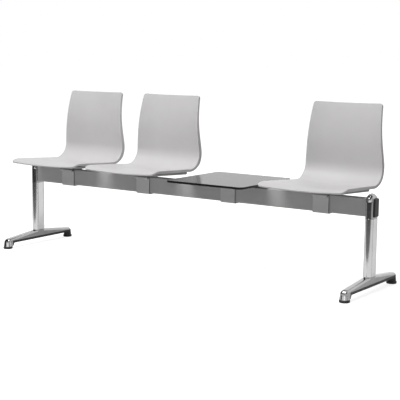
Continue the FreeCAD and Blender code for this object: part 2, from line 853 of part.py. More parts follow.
def make_table_plate(label, place_x):
    """Flat steel plate between the table's carrier and its top."""
    body = new_body(label)
    rise = BEAM_TOP + " + sizes.table_rise - sizes.table_plate"
    outline = draw_rectangle(
        new_sketch(body, "XY_Plane", rise),
        "-sizes.table_plate_width / 2",
        "sizes.table_plate_width / 2",
        "-sizes.table_plate_depth / 2",
        "sizes.table_plate_depth / 2",
    )
    pad(body, outline, "sizes.table_plate")
    round_edges(body, lambda edge: runs_along(edge, Vector(0, 0, 1)), "sizes.table_corner")
    holes = new_sketch(body, "XY_Plane", BEAM_TOP + " + sizes.table_rise")
    for x_sign in ("", "-"):
        for y_sign in ("", "-"):
            draw_circle(
                holes,
                x_sign + "sizes.frame_screw_x",
                y_sign + "sizes.frame_screw_y",
                "sizes.frame_screw / 2 + sizes.thread_clearance",
            )
            draw_circle(
                holes,
                x_sign + "sizes.table_screw_x",
                y_sign + "sizes.table_screw_y",
                "sizes.shell_screw / 2 + sizes.thread_clearance",
            )
    cut(body, holes, "sizes.table_plate + 1")
    top = value(BEAM_TOP) + size("table_rise")
    for x in (-size("frame_screw_x"), size("frame_screw_x")):
        for y in (-size("frame_screw_y"), size("frame_screw_y")):
            sink = body.newObject("PartDesign::SubtractiveCone", body.Label + "_sink")
            sink.setExpression("Radius1", "sizes.frame_screw / 2")
            sink.setExpression("Radius2", "sizes.frame_screw")
            sink.setExpression("Height", "sizes.frame_screw / 2")
            sink.Placement = Placement(Vector(x, y, top - size("frame_screw") / 2), Rotation())
            doc.recompute()
    body.Placement = Placement(Vector(place_x, 0, 0), Rotation())


def make_table_screws(label, place_x):
    """Countersunk screws into the carrier and button heads up into the top."""
    top = value(BEAM_TOP) + size("table_rise")
    plate_foot = top - size("table_plate")
    solids = []
    radius = size("frame_screw") / 2
    length = size("table_plate") + size("carrier_wall")
    for x in (-size("frame_screw_x"), size("frame_screw_x")):
        for y in (-size("frame_screw_y"), size("frame_screw_y")):
            shank = cylinder(radius, length, Vector(x, y, top - length))
            head = Part.makeCone(radius, 2 * radius, radius, Vector(x, y, top - radius))
            solids.append(shank.fuse(head).removeSplitter())
    radius = size("shell_screw") / 2
    length = size("table_plate") + size("table_thickness") * 0.6
    for x in (-size("table_screw_x"), size("table_screw_x")):
        for y in (-size("table_screw_y"), size("table_screw_y")):
            screw = button_screw(radius, length, size("button_head"), Vector(0, 0, 0))
            screw.rotate(Vector(0, 0, 0), Vector(1, 0, 0), 180)
            screw.translate(Vector(x, y, plate_foot))
            solids.append(screw)
    group = new_group(label, solids)
    group.Placement = Placement(Vector(place_x, 0, 0), Rotation())


def make_table_top(label, place_x):
    """Solid laminate top with rounded corners and blind screw holes from below."""
    body = new_body(label)
    underside = BEAM_TOP + " + sizes.table_rise"
    outline = draw_rectangle(
        new_sketch(body, "XY_Plane", underside),
        "-sizes.table_width / 2",
        "sizes.table_width / 2",
        "-sizes.table_front",
        "sizes.table_rear",
    )
    pad(body, outline, "sizes.table_thickness")
    round_edges(body, lambda edge: runs_along(edge, Vector(0, 0, 1)), "sizes.table_corner")
    holes = new_sketch(body, "XY_Plane", underside)
    for x_sign in ("", "-"):
        for y_sign in ("", "-"):
            draw_circle(
                holes,
                x_sign + "sizes.table_screw_x",
                y_sign + "sizes.table_screw_y",
                "sizes.shell_screw / 2 + sizes.thread_clearance",
            )
    cut(body, holes, "sizes.table_thickness * 0.6", upwards=True)
    body.Placement = Placement(Vector(place_x, 0, 0), Rotation())


def make_saddle(label, leg):
    """Domed hoop casting that the beam passes through, on top of the column."""
    body = new_body(label)
    outline = draw_stadium(
        new_sketch(body, "XY_Plane", SADDLE_BASE), SADDLE_WIDTH, SADDLE_DEPTH
    )
    spring = "(%s + sizes.saddle_dome - %s / 2)" % (BEAM_TOP, SADDLE_DEPTH)
    pad(body, outline, "%s - %s" % (spring, SADDLE_BASE))
    arch = draw_half_stadium(
        new_sketch(body, "XY_Plane", spring), SADDLE_WIDTH, SADDLE_DEPTH
    )
    dome = body.newObject("PartDesign::Revolution", label + "_dome")
    dome.Profile = arch
    dome.ReferenceAxis = (arch, ["H_Axis"])
    dome.Angle = 180
    doc.recompute()
    passage = draw_rectangle(
        new_sketch(body, "YZ_Plane"),
        "-(%s + sizes.saddle_clearance)" % HALF_DEPTH,
        "%s + sizes.saddle_clearance" % HALF_DEPTH,
        "sizes.beam_underside",
        BEAM_TOP + " + sizes.saddle_clearance",
    )
    cut(body, passage, SADDLE_WIDTH + " + 2", both_ways=True)
    rod_hole = new_sketch(body, "XY_Plane", "sizes.beam_underside")
    draw_circle(rod_hole, "0", "0", "sizes.tie_rod / 2 + sizes.thread_clearance")
    cut(body, rod_hole, "sizes.saddle_web + 1")
    hole = body.newObject("PartDesign::SubtractiveCylinder", label + "_screw_hole")
    hole.setExpression("Radius", "sizes.set_screw / 2 + sizes.thread_clearance")
    hole.setExpression("Height", SADDLE_DEPTH)
    hole.Placement = set_screw_placement(0)
    doc.recompute()
    body.setExpression("Placement.Base.x", leg)


def set_screw_placement(leg_x):
    """From the beam's upper front corner, outwards and up through the dome."""
    corner = Vector(leg_x, -size("beam_depth") / 2, value(BEAM_TOP))
    tilt = Rotation(Vector(1, 0, 0), 90 - size("set_screw_angle"))
    return Placement(corner, tilt)


def make_set_screw(label, leg_x):
    """Socket set screw that bears on the beam's upper front corner."""
    radius = size("set_screw") / 2
    start = size("beam_corner") * (math.sqrt(2) - 1) + size("saddle_clearance")
    screw = cylinder(radius, size("set_screw_length"), Vector(0, 0, start))
    socket = hexagon(
        size("set_screw_socket"),
        size("set_screw_length"),
        Vector(0, 0, start + size("set_screw_length") / 2),
    )
    feature = new_group(label, [screw.cut(socket)])
    feature.Placement = set_screw_placement(leg_x)


def make_column(label, leg):
    """Hollow aluminium extrusion with a groove down each side, in line with the beam's face.

    The groove's depth is measured from the side, also where that already turns round.
    """
    body = new_body(label)
    height = "%s - sizes.foot_seat" % SADDLE_BASE
    outline = draw_stadium(
        new_sketch(body, "XY_Plane", "sizes.foot_seat"), "sizes.column_width", "sizes.column_depth"
    )
    pad(body, outline, height)
    bore = draw_stadium(
        new_sketch(body, "XY_Plane", SADDLE_BASE),
        "sizes.column_width - 2 * sizes.column_wall",
        "sizes.column_depth - 2 * sizes.column_wall",
    )
    cut(body, bore, height)
    grooves = new_sketch(body, "XY_Plane", SADDLE_BASE)
    straight = "(sizes.column_depth / 2 - sizes.column_width / 2)"
    past_straight = "max(0; %s + sizes.groove_width / 2 - %s)" % (HALF_DEPTH, straight)
    side = "sqrt(pow(sizes.column_width / 2; 2) - pow(%s; 2))" % past_straight
    for inner, outer in (
        (side + " - sizes.groove_depth", "sizes.column_width / 2 + 1"),
        ("-(sizes.column_width / 2 + 1)", "-(%s - sizes.groove_depth)" % side),
    ):
        draw_rectangle(
            grooves,
            inner,
            outer,
            "-(%s + sizes.groove_width / 2)" % HALF_DEPTH,
            "-(%s - sizes.groove_width / 2)" % HALF_DEPTH,
        )
    cut(body, grooves, height)
    body.setExpression("Placement.Base.x", leg)


def make_tie_rod(label, leg_x):
    """Rod that pulls saddle, column and foot together, its hex head inside the foot."""
    ceiling = size("foot_underline") + size("foot_cavity")
    end = value("sizes.beam_underside") - 1
    rod = cylinder(size("tie_rod") / 2, end - ceiling, Vector(0, 0, ceiling))
    head = hexagon(
        size("tie_rod_flats"), size("tie_rod_head"), Vector(0, 0, ceiling - size("tie_rod_head"))
    )
    feature = new_group(label, [rod.fuse(head).removeSplitter()])
    feature.Placement = Placement(Vector(leg_x, 0, 0), Rotation())


def make_foot(label, leg):
    """Foot casting: falls from the column to both ends, with a flared toe at the front."""
    body = new_body(label)
    profile = draw_outline(
        new_sketch(body, "YZ_Plane"),
        [
            ("-" + FOOT_TIP, "sizes.glide_height"),
            ("-sizes.toe_rear", "sizes.glide_height"),
            ("-sizes.toe_rear", "sizes.foot_underline"),
            (FOOT_TIP, "sizes.foot_underline"),
            (FOOT_TIP, "sizes.foot_end"),
            ("0", "sizes.foot_ridge"),
            ("-" + FOOT_TIP, "sizes.foot_end"),
        ],
    )
    pad(body, profile, "sizes.foot_width", both_ways=True)
    tip = value(FOOT_TIP)
    round_edges(
        body,
        lambda edge: runs_along(edge, Vector(0, 0, 1)) and abs(abs(edge.BoundBox.YMin) - tip) < 1e-4,
        "sizes.foot_nose",
    )
    top_edge_floor = size("foot_end") - 1e-3
    round_edges(
        body,
        lambda edge: edge.BoundBox.ZMin > top_edge_floor and not runs_along(edge, Vector(1, 0, 0)),
        "sizes.foot_edge",
    )
    collar = draw_stadium(
        new_sketch(body, "XY_Plane", "sizes.foot_seat"),
        "sizes.foot_width",
        "sizes.column_depth - (sizes.column_width - sizes.foot_width)",
    )
    pad(body, collar, "sizes.foot_seat - sizes.foot_end", backwards=True)
    flare = body.newObject("PartDesign::AdditiveCone", label + "_toe")
    flare.setExpression("Radius1", "sizes.foot_width / 2 + sizes.toe_flare")
    flare.setExpression("Radius2", "sizes.foot_width / 2")
    flare.setExpression("Height", "sizes.foot_underline - sizes.glide_height")
    flare.Placement = Placement(Vector(0, -size("glide_reach"), size("glide_height")), Rotation())
    doc.recompute()
    behind_toe = draw_rectangle(
        new_sketch(body, "YZ_Plane"),
        "-sizes.toe_rear",
        "-(sizes.toe_rear - sizes.foot_width)",
        "0",
        "sizes.foot_underline",
    )
    cut(body, behind_toe, "3 * sizes.foot_width", both_ways=True)
    above_seat = draw_rectangle(
        new_sketch(body, "YZ_Plane"),
        "-(sizes.column_depth / 2 + 1)",
        "sizes.column_depth / 2 + 1",
        "sizes.foot_seat",
        "sizes.foot_ridge + 1",
    )
    cut(body, above_seat, "2 * sizes.foot_width", both_ways=True)
    cavity = draw_rectangle(
        new_sketch(body, "XY_Plane", "sizes.foot_underline"),
        "-(sizes.foot_width / 2 - sizes.foot_wall)",
        "sizes.foot_width / 2 - sizes.foot_wall",
        "-sizes.foot_cavity_reach",
        "sizes.foot_cavity_reach",
    )
    cut(body, cavity, "sizes.foot_cavity", upwards=True)
    rod_hole = new_sketch(body, "XY_Plane", "sizes.foot_seat")
    draw_circle(rod_hole, "0", "0", "sizes.tie_rod / 2 + sizes.thread_clearance")
    cut(body, rod_hole, "sizes.foot_seat - sizes.foot_underline")
    stem_holes = new_sketch(body, "XY_Plane")
    for sign in ("", "-"):
        draw_circle(
            stem_holes, "0", sign + "sizes.glide_reach", "sizes.stem / 2 + sizes.stem_clearance"
        )
    cut(body, stem_holes, "sizes.stem_top + 1", upwards=True)
    body.setExpression("Placement.Base.x", leg)


def make_undertray(label, leg):
    """Black moulding that closes the foot from below and forms the heel over the rear glide."""
    body = new_body(label)
    heel_step = "sizes.toe_rear - sizes.tray_clearance"
    lip = draw_outline(
        new_sketch(body, "YZ_Plane"),
        [
            ("-(%s)" % heel_step, "sizes.tray_heel"),
            ("-(%s - 3)" % heel_step, "sizes.tray_heel"),
            ("-(%s - 11)" % heel_step, "sizes.tray_underline"),
            ("sizes.glide_reach", "sizes.tray_underline"),
            ("sizes.glide_reach", "sizes.foot_underline"),
            ("-(%s)" % heel_step, "sizes.foot_underline"),
        ],
    )
    pad(body, lip, "sizes.foot_width", both_ways=True)
    heel = body.newObject("PartDesign::AdditiveCone", label + "_heel")
    heel.setExpression("Radius1", "sizes.foot_width / 2 + sizes.heel_flare")
    heel.setExpression("Radius2", "sizes.foot_width / 2")
    heel.setExpression("Height", "sizes.foot_underline - sizes.glide_height")
    heel.Placement = Placement(Vector(0, size("glide_reach"), size("glide_height")), Rotation())
    doc.recompute()
    inset = "(sizes.foot_wall + sizes.tray_clearance)"
    tongue = draw_rectangle(
        new_sketch(body, "XY_Plane", "sizes.foot_underline"),
        "-(sizes.foot_width / 2 - %s)" % inset,
        "sizes.foot_width / 2 - %s" % inset,
        "-(sizes.foot_cavity_reach - sizes.tray_clearance)",
        "sizes.foot_cavity_reach - sizes.tray_clearance",
    )
    pad(body, tongue, "sizes.foot_cavity - sizes.tray_clearance")
    head_room = new_sketch(body, "XY_Plane", "sizes.foot_underline + sizes.foot_cavity")
    draw_circle(head_room, "0", "0", "sizes.tie_rod_flats / sqrt(3) + sizes.tray_clearance")
    cut(body, head_room, "sizes.tie_rod_head + sizes.tray_clearance")
    stem_hole = new_sketch(body, "XY_Plane")
    draw_circle(stem_hole, "0", "sizes.glide_reach", "sizes.stem / 2 + sizes.stem_clearance")
    cut(body, stem_hole, "sizes.foot_underline + 1", upwards=True)
    body.setExpression("Placement.Base.x", leg)


def make_glide(label, leg, side):
    """Round levelling glide: a bevelled plastic pad turned on its threaded stem."""
    body = new_body(label)
    shoulder = "sizes.glide_height - sizes.glide_gap"
    profile = draw_outline(
        new_sketch(body, "XZ_Plane"),
        [
            ("0", "0"),
            ("sizes.glide_radius - sizes.glide_bevel", "0"),
            ("sizes.glide_radius", "sizes.glide_bevel"),
            ("sizes.glide_radius", shoulder + " - sizes.glide_bevel"),
            ("sizes.glide_radius - sizes.glide_bevel", shoulder),
            ("sizes.stem / 2", shoulder),
            ("sizes.stem / 2", "sizes.stem_top"),
            ("0", "sizes.stem_top"),
        ],
    )
    turned = body.newObject("PartDesign::Revolution", label + "_turned")
    turned.Profile = profile
    turned.ReferenceAxis = (profile, ["V_Axis"])
    turned.Angle = 360
    doc.recompute()
    body.setExpression("Placement.Base.x", leg)
    body.setExpression("Placement.Base.y", side + "sizes.glide_reach")


make_beam_tube()
make_end_cap("end_cap_left", turned=True)
make_end_cap("end_cap_right", turned=False)

PLACES = {
    "left": ("-sizes.outer_place", "seat"),
    "centre": ("-sizes.inner_place", "seat"),
    "table": ("sizes.inner_place", "table"),
    "right": ("sizes.outer_place", "seat"),
}

for name, (place, kind) in PLACES.items():
    x = value(place)
    make_strap("strap_" + name, place)
    make_strap_bolts("strap_bolts_" + name, x)
    if kind == "seat":
        carrier = make_carrier("carrier_" + name, place, "sizes.seat_rise", "sizes.pan_slope")
        drill_carrier_for_frame(carrier)
        make_seat_frame("seat_frame_" + name, x)
        make_frame_screws("frame_screws_" + name, x)
        make_shell("seat_shell_" + name, x)
        make_shell_screws("shell_screws_" + name, x)
    else:
        rise = "(sizes.table_rise - sizes.table_plate)"
        carrier = make_carrier("carrier_" + name, place, rise, "0")
        screw_holes = new_sketch(carrier, "XY_Plane", BEAM_TOP + " + " + rise)
        for x_sign in ("", "-"):
            for y_sign in ("", "-"):
                draw_circle(
                    screw_holes,
                    x_sign + "sizes.frame_screw_x",
                    y_sign + "sizes.frame_screw_y",
                    "sizes.frame_screw / 2 + sizes.thread_clearance",
                )
        cut(carrier, screw_holes, "sizes.carrier_wall + 1")
        make_table_plate("table_plate", x)
        make_table_screws("table_screws", x)
        make_table_top("table_top", x)

for name, leg in (("left", "-" + LEG_PLACE), ("right", LEG_PLACE)):
    x = value(leg)
    make_saddle("saddle_" + name, leg)
    make_set_screw("set_screw_" + name, x)
    make_column("column_" + name, leg)
    make_tie_rod("tie_rod_" + name, x)
    make_foot("foot_" + name, leg)
    make_undertray("undertray_" + name, leg)
    make_glide("glide_front_" + name, leg, "-")
    make_glide("glide_rear_" + name, leg, "")

doc.recompute()

for item in doc.Objects:
    if "Invalid" in item.State or "Error" in item.State:
        raise RuntimeError("%s did not compute: %s" % (item.Label, item.State))
for part in parts:
    if part.Shape.isNull() or not part.Shape.isValid():
        raise RuntimeError("%s has no valid shape" % part.Label)

os.makedirs("parts", exist_ok=True)
for part in parts:
    part.Shape.exportStep("parts/" + part.Label + ".step")
print("%d parts written" % len(parts))
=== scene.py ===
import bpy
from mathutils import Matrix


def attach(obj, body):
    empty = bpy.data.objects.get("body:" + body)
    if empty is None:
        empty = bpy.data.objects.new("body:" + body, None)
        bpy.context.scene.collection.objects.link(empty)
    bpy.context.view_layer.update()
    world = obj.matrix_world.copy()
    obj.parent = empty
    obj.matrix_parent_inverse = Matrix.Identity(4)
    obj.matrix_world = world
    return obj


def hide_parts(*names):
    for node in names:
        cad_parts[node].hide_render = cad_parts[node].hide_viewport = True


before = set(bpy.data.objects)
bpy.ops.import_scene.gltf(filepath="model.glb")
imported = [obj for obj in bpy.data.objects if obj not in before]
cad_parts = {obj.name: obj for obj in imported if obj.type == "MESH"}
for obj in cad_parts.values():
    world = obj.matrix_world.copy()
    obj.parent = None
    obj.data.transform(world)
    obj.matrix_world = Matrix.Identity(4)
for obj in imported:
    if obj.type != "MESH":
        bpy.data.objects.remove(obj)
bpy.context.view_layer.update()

import math

import bmesh
import bpy
import numpy as np
from mathutils import Matrix

# Beam seating: three plastic seats and a low table on one steel beam with two aluminium legs.
# Shapes are worked out in millimetres, X along the beam, Y to the backs of the seats, Z up;
# finished_piece() turns them into metres in the CAD part's own frame.


# Beam: a welded rectangular steel tube, 80 by 40 mm with a 3 mm wall, cut square and left open.
# It is powder coated mid grey, with the fine orange peel that the coat dries to.
BEAM_UNDERSIDE, BEAM_TOP, BEAM_HALF_DEPTH = 334.0, 414.0, 20.0
BEAM_HALF_LENGTH, BEAM_WALL, BEAM_CORNER = 990.0, 3.0, 4.0


def rounded_rectangle(half_width, front, rear, corner, steps=8):
    """A function that gives the outline from -half_width to half_width and front to rear, moved
    in by an inset. Each corner is a quarter circle whose radius is the corner's less the inset,
    and never below nought."""

    def outline(inset):
        radius = max(corner - inset, 0.0)
        turn = np.linspace(0, math.pi / 2, steps + 1)[None, :]
        turn = turn + np.radians([-90.0, 0.0, 90.0, 180.0])[:, None]
        across = (half_width - inset - radius) * np.array([1, 1, -1, -1])[:, None]
        near, far = front + inset + radius, rear - inset - radius
        along = np.array([near, far, far, near])[:, None]
        points = (across + radius * np.cos(turn), along + radius * np.sin(turn))
        return np.stack(points, axis=-1).reshape(-1, 2)

    return outline


def stacked(outline, levels):
    """Loops of one outline at several heights: each level is a pair of inset and height."""
    return np.stack([np.insert(outline(inset), 2, height, axis=1) for inset, height in levels])


def along_beam(loops):
    """Loops worked out in plan, laid down so that their height runs along the beam."""
    return loops[..., [2, 0, 1]]


def closed_skin(loops, ends="flat"):
    """Each loop is joined to the next by four-sided faces. The ends are one flat face each, or
    zipped across by strips, or joined to each other. The faces point outwards: the volume under
    them, a sixth of the sum of a . (b x c) over their triangles, is made positive."""
    rows, count = loops.shape[:2]
    points = loops.reshape(-1, 3)
    grid = np.arange(rows * count).reshape(rows, count)
    lower, upper = grid[:-1], grid[1:]
    if ends == "joined":
        lower, upper = grid, np.roll(grid, -1, axis=0)
    faces = np.stack((lower, np.roll(lower, -1, 1), np.roll(upper, -1, 1), upper), axis=-1)
    faces = faces.reshape(-1, 4)
    caps = []
    if ends == "flat":
        caps = [grid[0][::-1], grid[-1]]
    if ends == "zipped":
        strips = []
        for loop, order in ((grid[0], -1), (grid[-1], 1)):
            near, far = loop[: count // 2], loop[count // 2 :][::-1]
            strips.append(np.column_stack((near[:-1], near[1:], far[1:], far[:-1]))[:, ::order])
        faces = np.concatenate((faces, *strips))
    corners = [faces[:, [0, 1, 2]], faces[:, [0, 2, 3]]]
    corners += [np.column_stack((np.full(count - 2, c[0]), c[1:-1], c[2:])) for c in caps]
    a, b, c = points[np.concatenate(corners)].transpose(1, 0, 2)
    if np.sum(a * np.cross(b, c)) < 0:
        faces, caps = faces[:, ::-1], [cap[::-1] for cap in caps]
    return points, faces, caps


def finished_piece(name, skins, finish, nodes, body="bench", edge=0.0):
    """One object made of closed skins, in metres and at the origin. Doubled points are merged,
    edges sharper than 30 degrees are rounded by edge, and flat faces are shaded flat. The piece
    rides on its CAD body in place of the CAD nodes."""
    starts = np.cumsum([0] + [len(points) for points, _, _ in skins])
    faces = []
    for start, (_, quads, caps) in zip(starts, skins):
        faces += (quads + start).tolist() + [(cap + start).tolist() for cap in caps]
    mesh = bpy.data.meshes.new(name)
    mesh.from_pydata((np.concatenate([skin[0] for skin in skins]) / 1000).tolist(), [], faces)
    cleaned = bmesh.new()
    cleaned.from_mesh(mesh)
    bmesh.ops.remove_doubles(cleaned, verts=cleaned.verts, dist=2e-6)
    cleaned.to_mesh(mesh)
    cleaned.free()
    mesh.shade_smooth()
    made = bpy.data.objects.new(name, mesh)
    bpy.context.scene.collection.objects.link(made)
    if edge:
        rounding = made.modifiers.new("edges", "BEVEL")
        rounding.width = edge / 1000
        rounding.segments = 3
        rounding.limit_method = "ANGLE"
        rounding.angle_limit = math.radians(30)
        rounding.use_clamp_overlap = False
    else:
        mesh.set_sharp_from_angle(angle=math.radians(40))
    shading = made.modifiers.new("flat_faces", "WEIGHTED_NORMAL")
    shading.keep_sharp = True
    mesh.materials.append(finish)
    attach(made, body)
    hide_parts(*nodes)
    return made


class Finish:
    """A node material in the making: patterns are laid over Object coordinates, in metres."""

    def __init__(self, name):
        self.material = bpy.data.materials.new(name)
        self.material.use_nodes = True
        self.nodes = self.material.node_tree.nodes
        self.links = self.material.node_tree.links
        self.shader = self.nodes["Principled BSDF"]
        self.place = self.nodes.new("ShaderNodeTexCoord").outputs["Object"]

    def grain(self, per_metre, detail=3.0, stretch=(1, 1, 1)):
        """Cloudy noise with that many grains to the metre, drawn out where stretch is below 1."""
        mapping = self.nodes.new("ShaderNodeMapping")
        mapping.inputs["Scale"].default_value = stretch
        noise = self.nodes.new("ShaderNodeTexNoise")
        noise.inputs["Scale"].default_value = per_metre
        noise.inputs["Detail"].default_value = detail
        self.links.new(self.place, mapping.inputs["Vector"])
        self.links.new(mapping.outputs["Vector"], noise.inputs["Vector"])
        return noise.outputs["Fac"]

    def between(self, pattern, low, high):
        """The pattern's middle range, 0.3 to 0.7, turned into low to high."""
        spread = self.nodes.new("ShaderNodeMapRange")
        spread.inputs["From Min"].default_value = 0.3
        spread.inputs["From Max"].default_value = 0.7
        spread.inputs["To Min"].default_value = low
        spread.inputs["To Max"].default_value = high
        self.links.new(pattern, spread.inputs["Value"])
        return spread.outputs["Result"]

    def colour(self, pattern, dark, light):
        """Base colour between dark and light, by the pattern."""
        mix = self.nodes.new("ShaderNodeMix")
        mix.data_type = "RGBA"
        mix.inputs[6].default_value = (*dark, 1)
        mix.inputs[7].default_value = (*light, 1)
        self.links.new(self.between(pattern, 0, 1), mix.inputs[0])
        self.links.new(mix.outputs[2], self.shader.inputs["Base Color"])

    def roughness(self, pattern, low, high):
        """Roughness between low and high, by the pattern."""
        self.links.new(self.between(pattern, low, high), self.shader.inputs["Roughness"])

    def relief(self, *layers):
        """Bumps from pairs of pattern and depth in millimetres, one on top of the other."""
        normal = None
        for pattern, depth in layers:
            bump = self.nodes.new("ShaderNodeBump")
            bump.inputs["Distance"].default_value = depth / 1000
            bump.inputs["Strength"].default_value = 1.0
            self.links.new(pattern, bump.inputs["Height"])
            if normal:
                self.links.new(normal, bump.inputs["Normal"])
            normal = bump.outputs["Normal"]
        self.links.new(normal, self.shader.inputs["Normal"])


def powder_coat(name, dark, light, sheen):
    """Powder coat over steel: soft orange peel, a faint cloudiness and a satin sheen."""
    coat = Finish(name)
    coat.colour(coat.grain(9), dark, light)
    coat.roughness(coat.grain(40), sheen - 0.05, sheen + 0.05)
    coat.relief((coat.grain(420, 2), 0.035), (coat.grain(1500, 2), 0.01))
    return coat.material


beam_coat = powder_coat("beam_coat", (0.500, 0.492, 0.493), (0.540, 0.532, 0.533), 0.46)
tube = rounded_rectangle(BEAM_HALF_DEPTH, BEAM_UNDERSIDE, BEAM_TOP, BEAM_CORNER)
tube_levels = [
    (0, -BEAM_HALF_LENGTH),
    (0, BEAM_HALF_LENGTH),
    (BEAM_WALL, BEAM_HALF_LENGTH),
    (BEAM_WALL, -BEAM_HALF_LENGTH),
]
finished_piece(
    "beam_tube_steel",
    [closed_skin(along_beam(stacked(tube, tube_levels)), "joined")],
    beam_coat,
    ["beam_tube"],
    edge=0.4,
)


# End caps: black polypropylene mouldings, a head flush with the tube and a hollow plug inside it.
# They are pushed into the open ends of the beam and sit a little inside its wall.
CAP_HEAD, CAP_PLUG, CAP_WALL, CAP_ROUNDING, CAP_STEP = 11.0, 24.0, 3.0, 3.0, 3.3

black_moulding = Finish("black_moulding")
black_moulding.colour(black_moulding.grain(14), (0.011, 0.011, 0.012), (0.019, 0.019, 0.020))
black_moulding.roughness(black_moulding.grain(60), 0.38, 0.50)
black_moulding.relief((black_moulding.grain(1100, 3), 0.03))

cap_turn = np.radians(np.linspace(90, 0, 7))
cap_face = BEAM_HALF_LENGTH + CAP_HEAD
cap_levels = [
    (CAP_ROUNDING * (1 - math.cos(a)), cap_face - CAP_ROUNDING * (1 - math.sin(a)))
    for a in cap_turn
] + [
    (0, BEAM_HALF_LENGTH + 0.25),
    (0.25, BEAM_HALF_LENGTH),
    (CAP_STEP, BEAM_HALF_LENGTH),
    (CAP_STEP, BEAM_HALF_LENGTH - CAP_PLUG),
    (CAP_STEP + CAP_WALL, BEAM_HALF_LENGTH - CAP_PLUG),
    (CAP_STEP + CAP_WALL, cap_face - CAP_WALL),
]
for side, way in (("left", -1), ("right", 1)):
    loops = along_beam(stacked(tube, cap_levels)) * (way, 1, 1)
    finished_piece(
        "end_cap_moulding_" + side,
        [closed_skin(loops)],
        black_moulding.material,
        ["end_cap_" + side],
    )


# Saddles: polished aluminium castings, a hoop with a domed top that the beam passes through.
# A web closes each hoop below, where the tie rod pulls it down on the column.
LEG_X, SADDLE_RADIUS, STADIUM_CENTRE = 975.0, 18.75, 18.25
SADDLE_BASE, SPRING, PASSAGE_Y, PASSAGE_TOP = 326.0, 398.0, 20.3, 414.3

casting = Finish("polished_casting_painted_shade")
casting.shader.inputs["Metallic"].default_value = 1.0
# Its colour is kept far darker than the columns' polished aluminium: painted shade, standing for
# the shaded floor that the saddles and feet reflect.
casting.colour(casting.grain(14), (0.42, 0.42, 0.42), (0.50, 0.50, 0.50))
casting.roughness(casting.grain(45, 4), 0.10, 0.17)
casting.relief((casting.grain(60, 1), 0.0015))


def hoop_loops(steps=28):
    """The hoop's section carried round the beam's passage. Each section is the part of a half
    stadium that lies outside the passage: the arc x = R sin t, out = centre + R cos t, its
    straight sides where the passage is near, and one flat inner face. On the uprights out is
    along Y; over the dome it is along the radius from the spring line; below, the uprights'
    outline shrinks along Y to nought and grows again, which closes the web."""

    def section(gap):
        reach = math.acos(gap / SADDLE_RADIUS) if gap > 0 else math.pi / 2
        t = np.linspace(-reach, reach, steps + 1)
        x = SADDLE_RADIUS * np.sin(t)
        out = STADIUM_CENTRE + SADDLE_RADIUS * np.cos(t)
        near = STADIUM_CENTRE + gap
        return np.r_[x[0], x, x[-1]], np.r_[near, out, near]

    x, out = section(PASSAGE_Y - STADIUM_CENTRE)
    inner = np.r_[True, np.zeros(steps + 1, bool), True]
    loops = []
    for share in np.linspace(-1, 1, 7)[1:-1]:
        z = np.where(inner, BEAM_UNDERSIDE, SADDLE_BASE)
        loops.append(np.column_stack((x, share * out, z)))
    for z in (SADDLE_BASE, SPRING):
        loops.append(np.column_stack((x, out, np.where(inner, max(z, BEAM_UNDERSIDE), z))))
    for angle in np.radians(np.linspace(0, 180, 61))[1:-1]:
        passage = min(
            PASSAGE_Y / max(abs(math.cos(angle)), 1e-9), (PASSAGE_TOP - SPRING) / math.sin(angle)
        )
        x_here, out_here = section(passage - STADIUM_CENTRE)
        y, z = out_here * math.cos(angle), SPRING + out_here * math.sin(angle)
        loops.append(np.column_stack((x_here, y, z)))
    for z in (SPRING, SADDLE_BASE):
        loops.append(np.column_stack((x, -out, np.where(inner, max(z, BEAM_UNDERSIDE), z))))
    return np.stack(loops)


for side, way in (("left", -1), ("right", 1)):
    finished_piece(
        "saddle_casting_" + side,
        [closed_skin(hoop_loops() + (way * LEG_X, 0, 0), "joined")],
        casting.material,
        ["saddle_" + side],
        edge=0.7,
    )


# Set screws: M10 socket screws, zinc plated and blackened, driven down through the front of each
# dome. Each bears on the upper front corner of the beam and locks the leg in place.
SET_RADIUS, SET_START, SET_LENGTH, SET_TILT = 5.0, 1.957, 13.0, 40.0
SET_POINT, SET_CHAMFER, SOCKET_FLATS, SOCKET_RADIUS, SOCKET_DEPTH = 3.6, 0.8, 5.0, 2.9, 6.0


def plating(name, dark, light):
    """Zinc plating over steel: cloudy in colour and sheen, with a faint relief."""
    zinc = Finish(name)
    zinc.shader.inputs["Metallic"].default_value = 1.0
    zinc.colour(zinc.grain(90), dark, light)
    zinc.roughness(zinc.grain(240, 4), 0.28, 0.44)
    zinc.relief((zinc.grain(900, 3), 0.01))
    return zinc.material


black_zinc = plating("black_zinc_plating", (0.06, 0.06, 0.06), (0.10, 0.10, 0.10))


def turned(levels, around=48):
    """Loops about an upright line from levels of height, radius and width across flats. A point
    is as far out as the radius, or as the hexagon's side where that is nearer: half the width
    across flats over the cosine of the angle to the middle of the flat."""
    turn = np.arange(around) * 2 * math.pi / around
    to_flat = (turn + math.pi / 6) % (math.pi / 3) - math.pi / 6
    height, radius, flats = np.array(levels, float).T[:, :, None]
    reach = np.minimum(radius, flats / 2 / np.cos(to_flat))
    height = np.broadcast_to(height, reach.shape)
    return np.stack((reach * np.cos(turn), reach * np.sin(turn), height), axis=-1)


def placed(loops, place, tilt=0.0):
    """Loops turned about the X direction by tilt degrees, then moved to their place."""
    c, s = math.cos(math.radians(tilt)), math.sin(math.radians(tilt))
    return loops @ np.array([[1, 0, 0], [0, c, s], [0, -s, c]]) + place


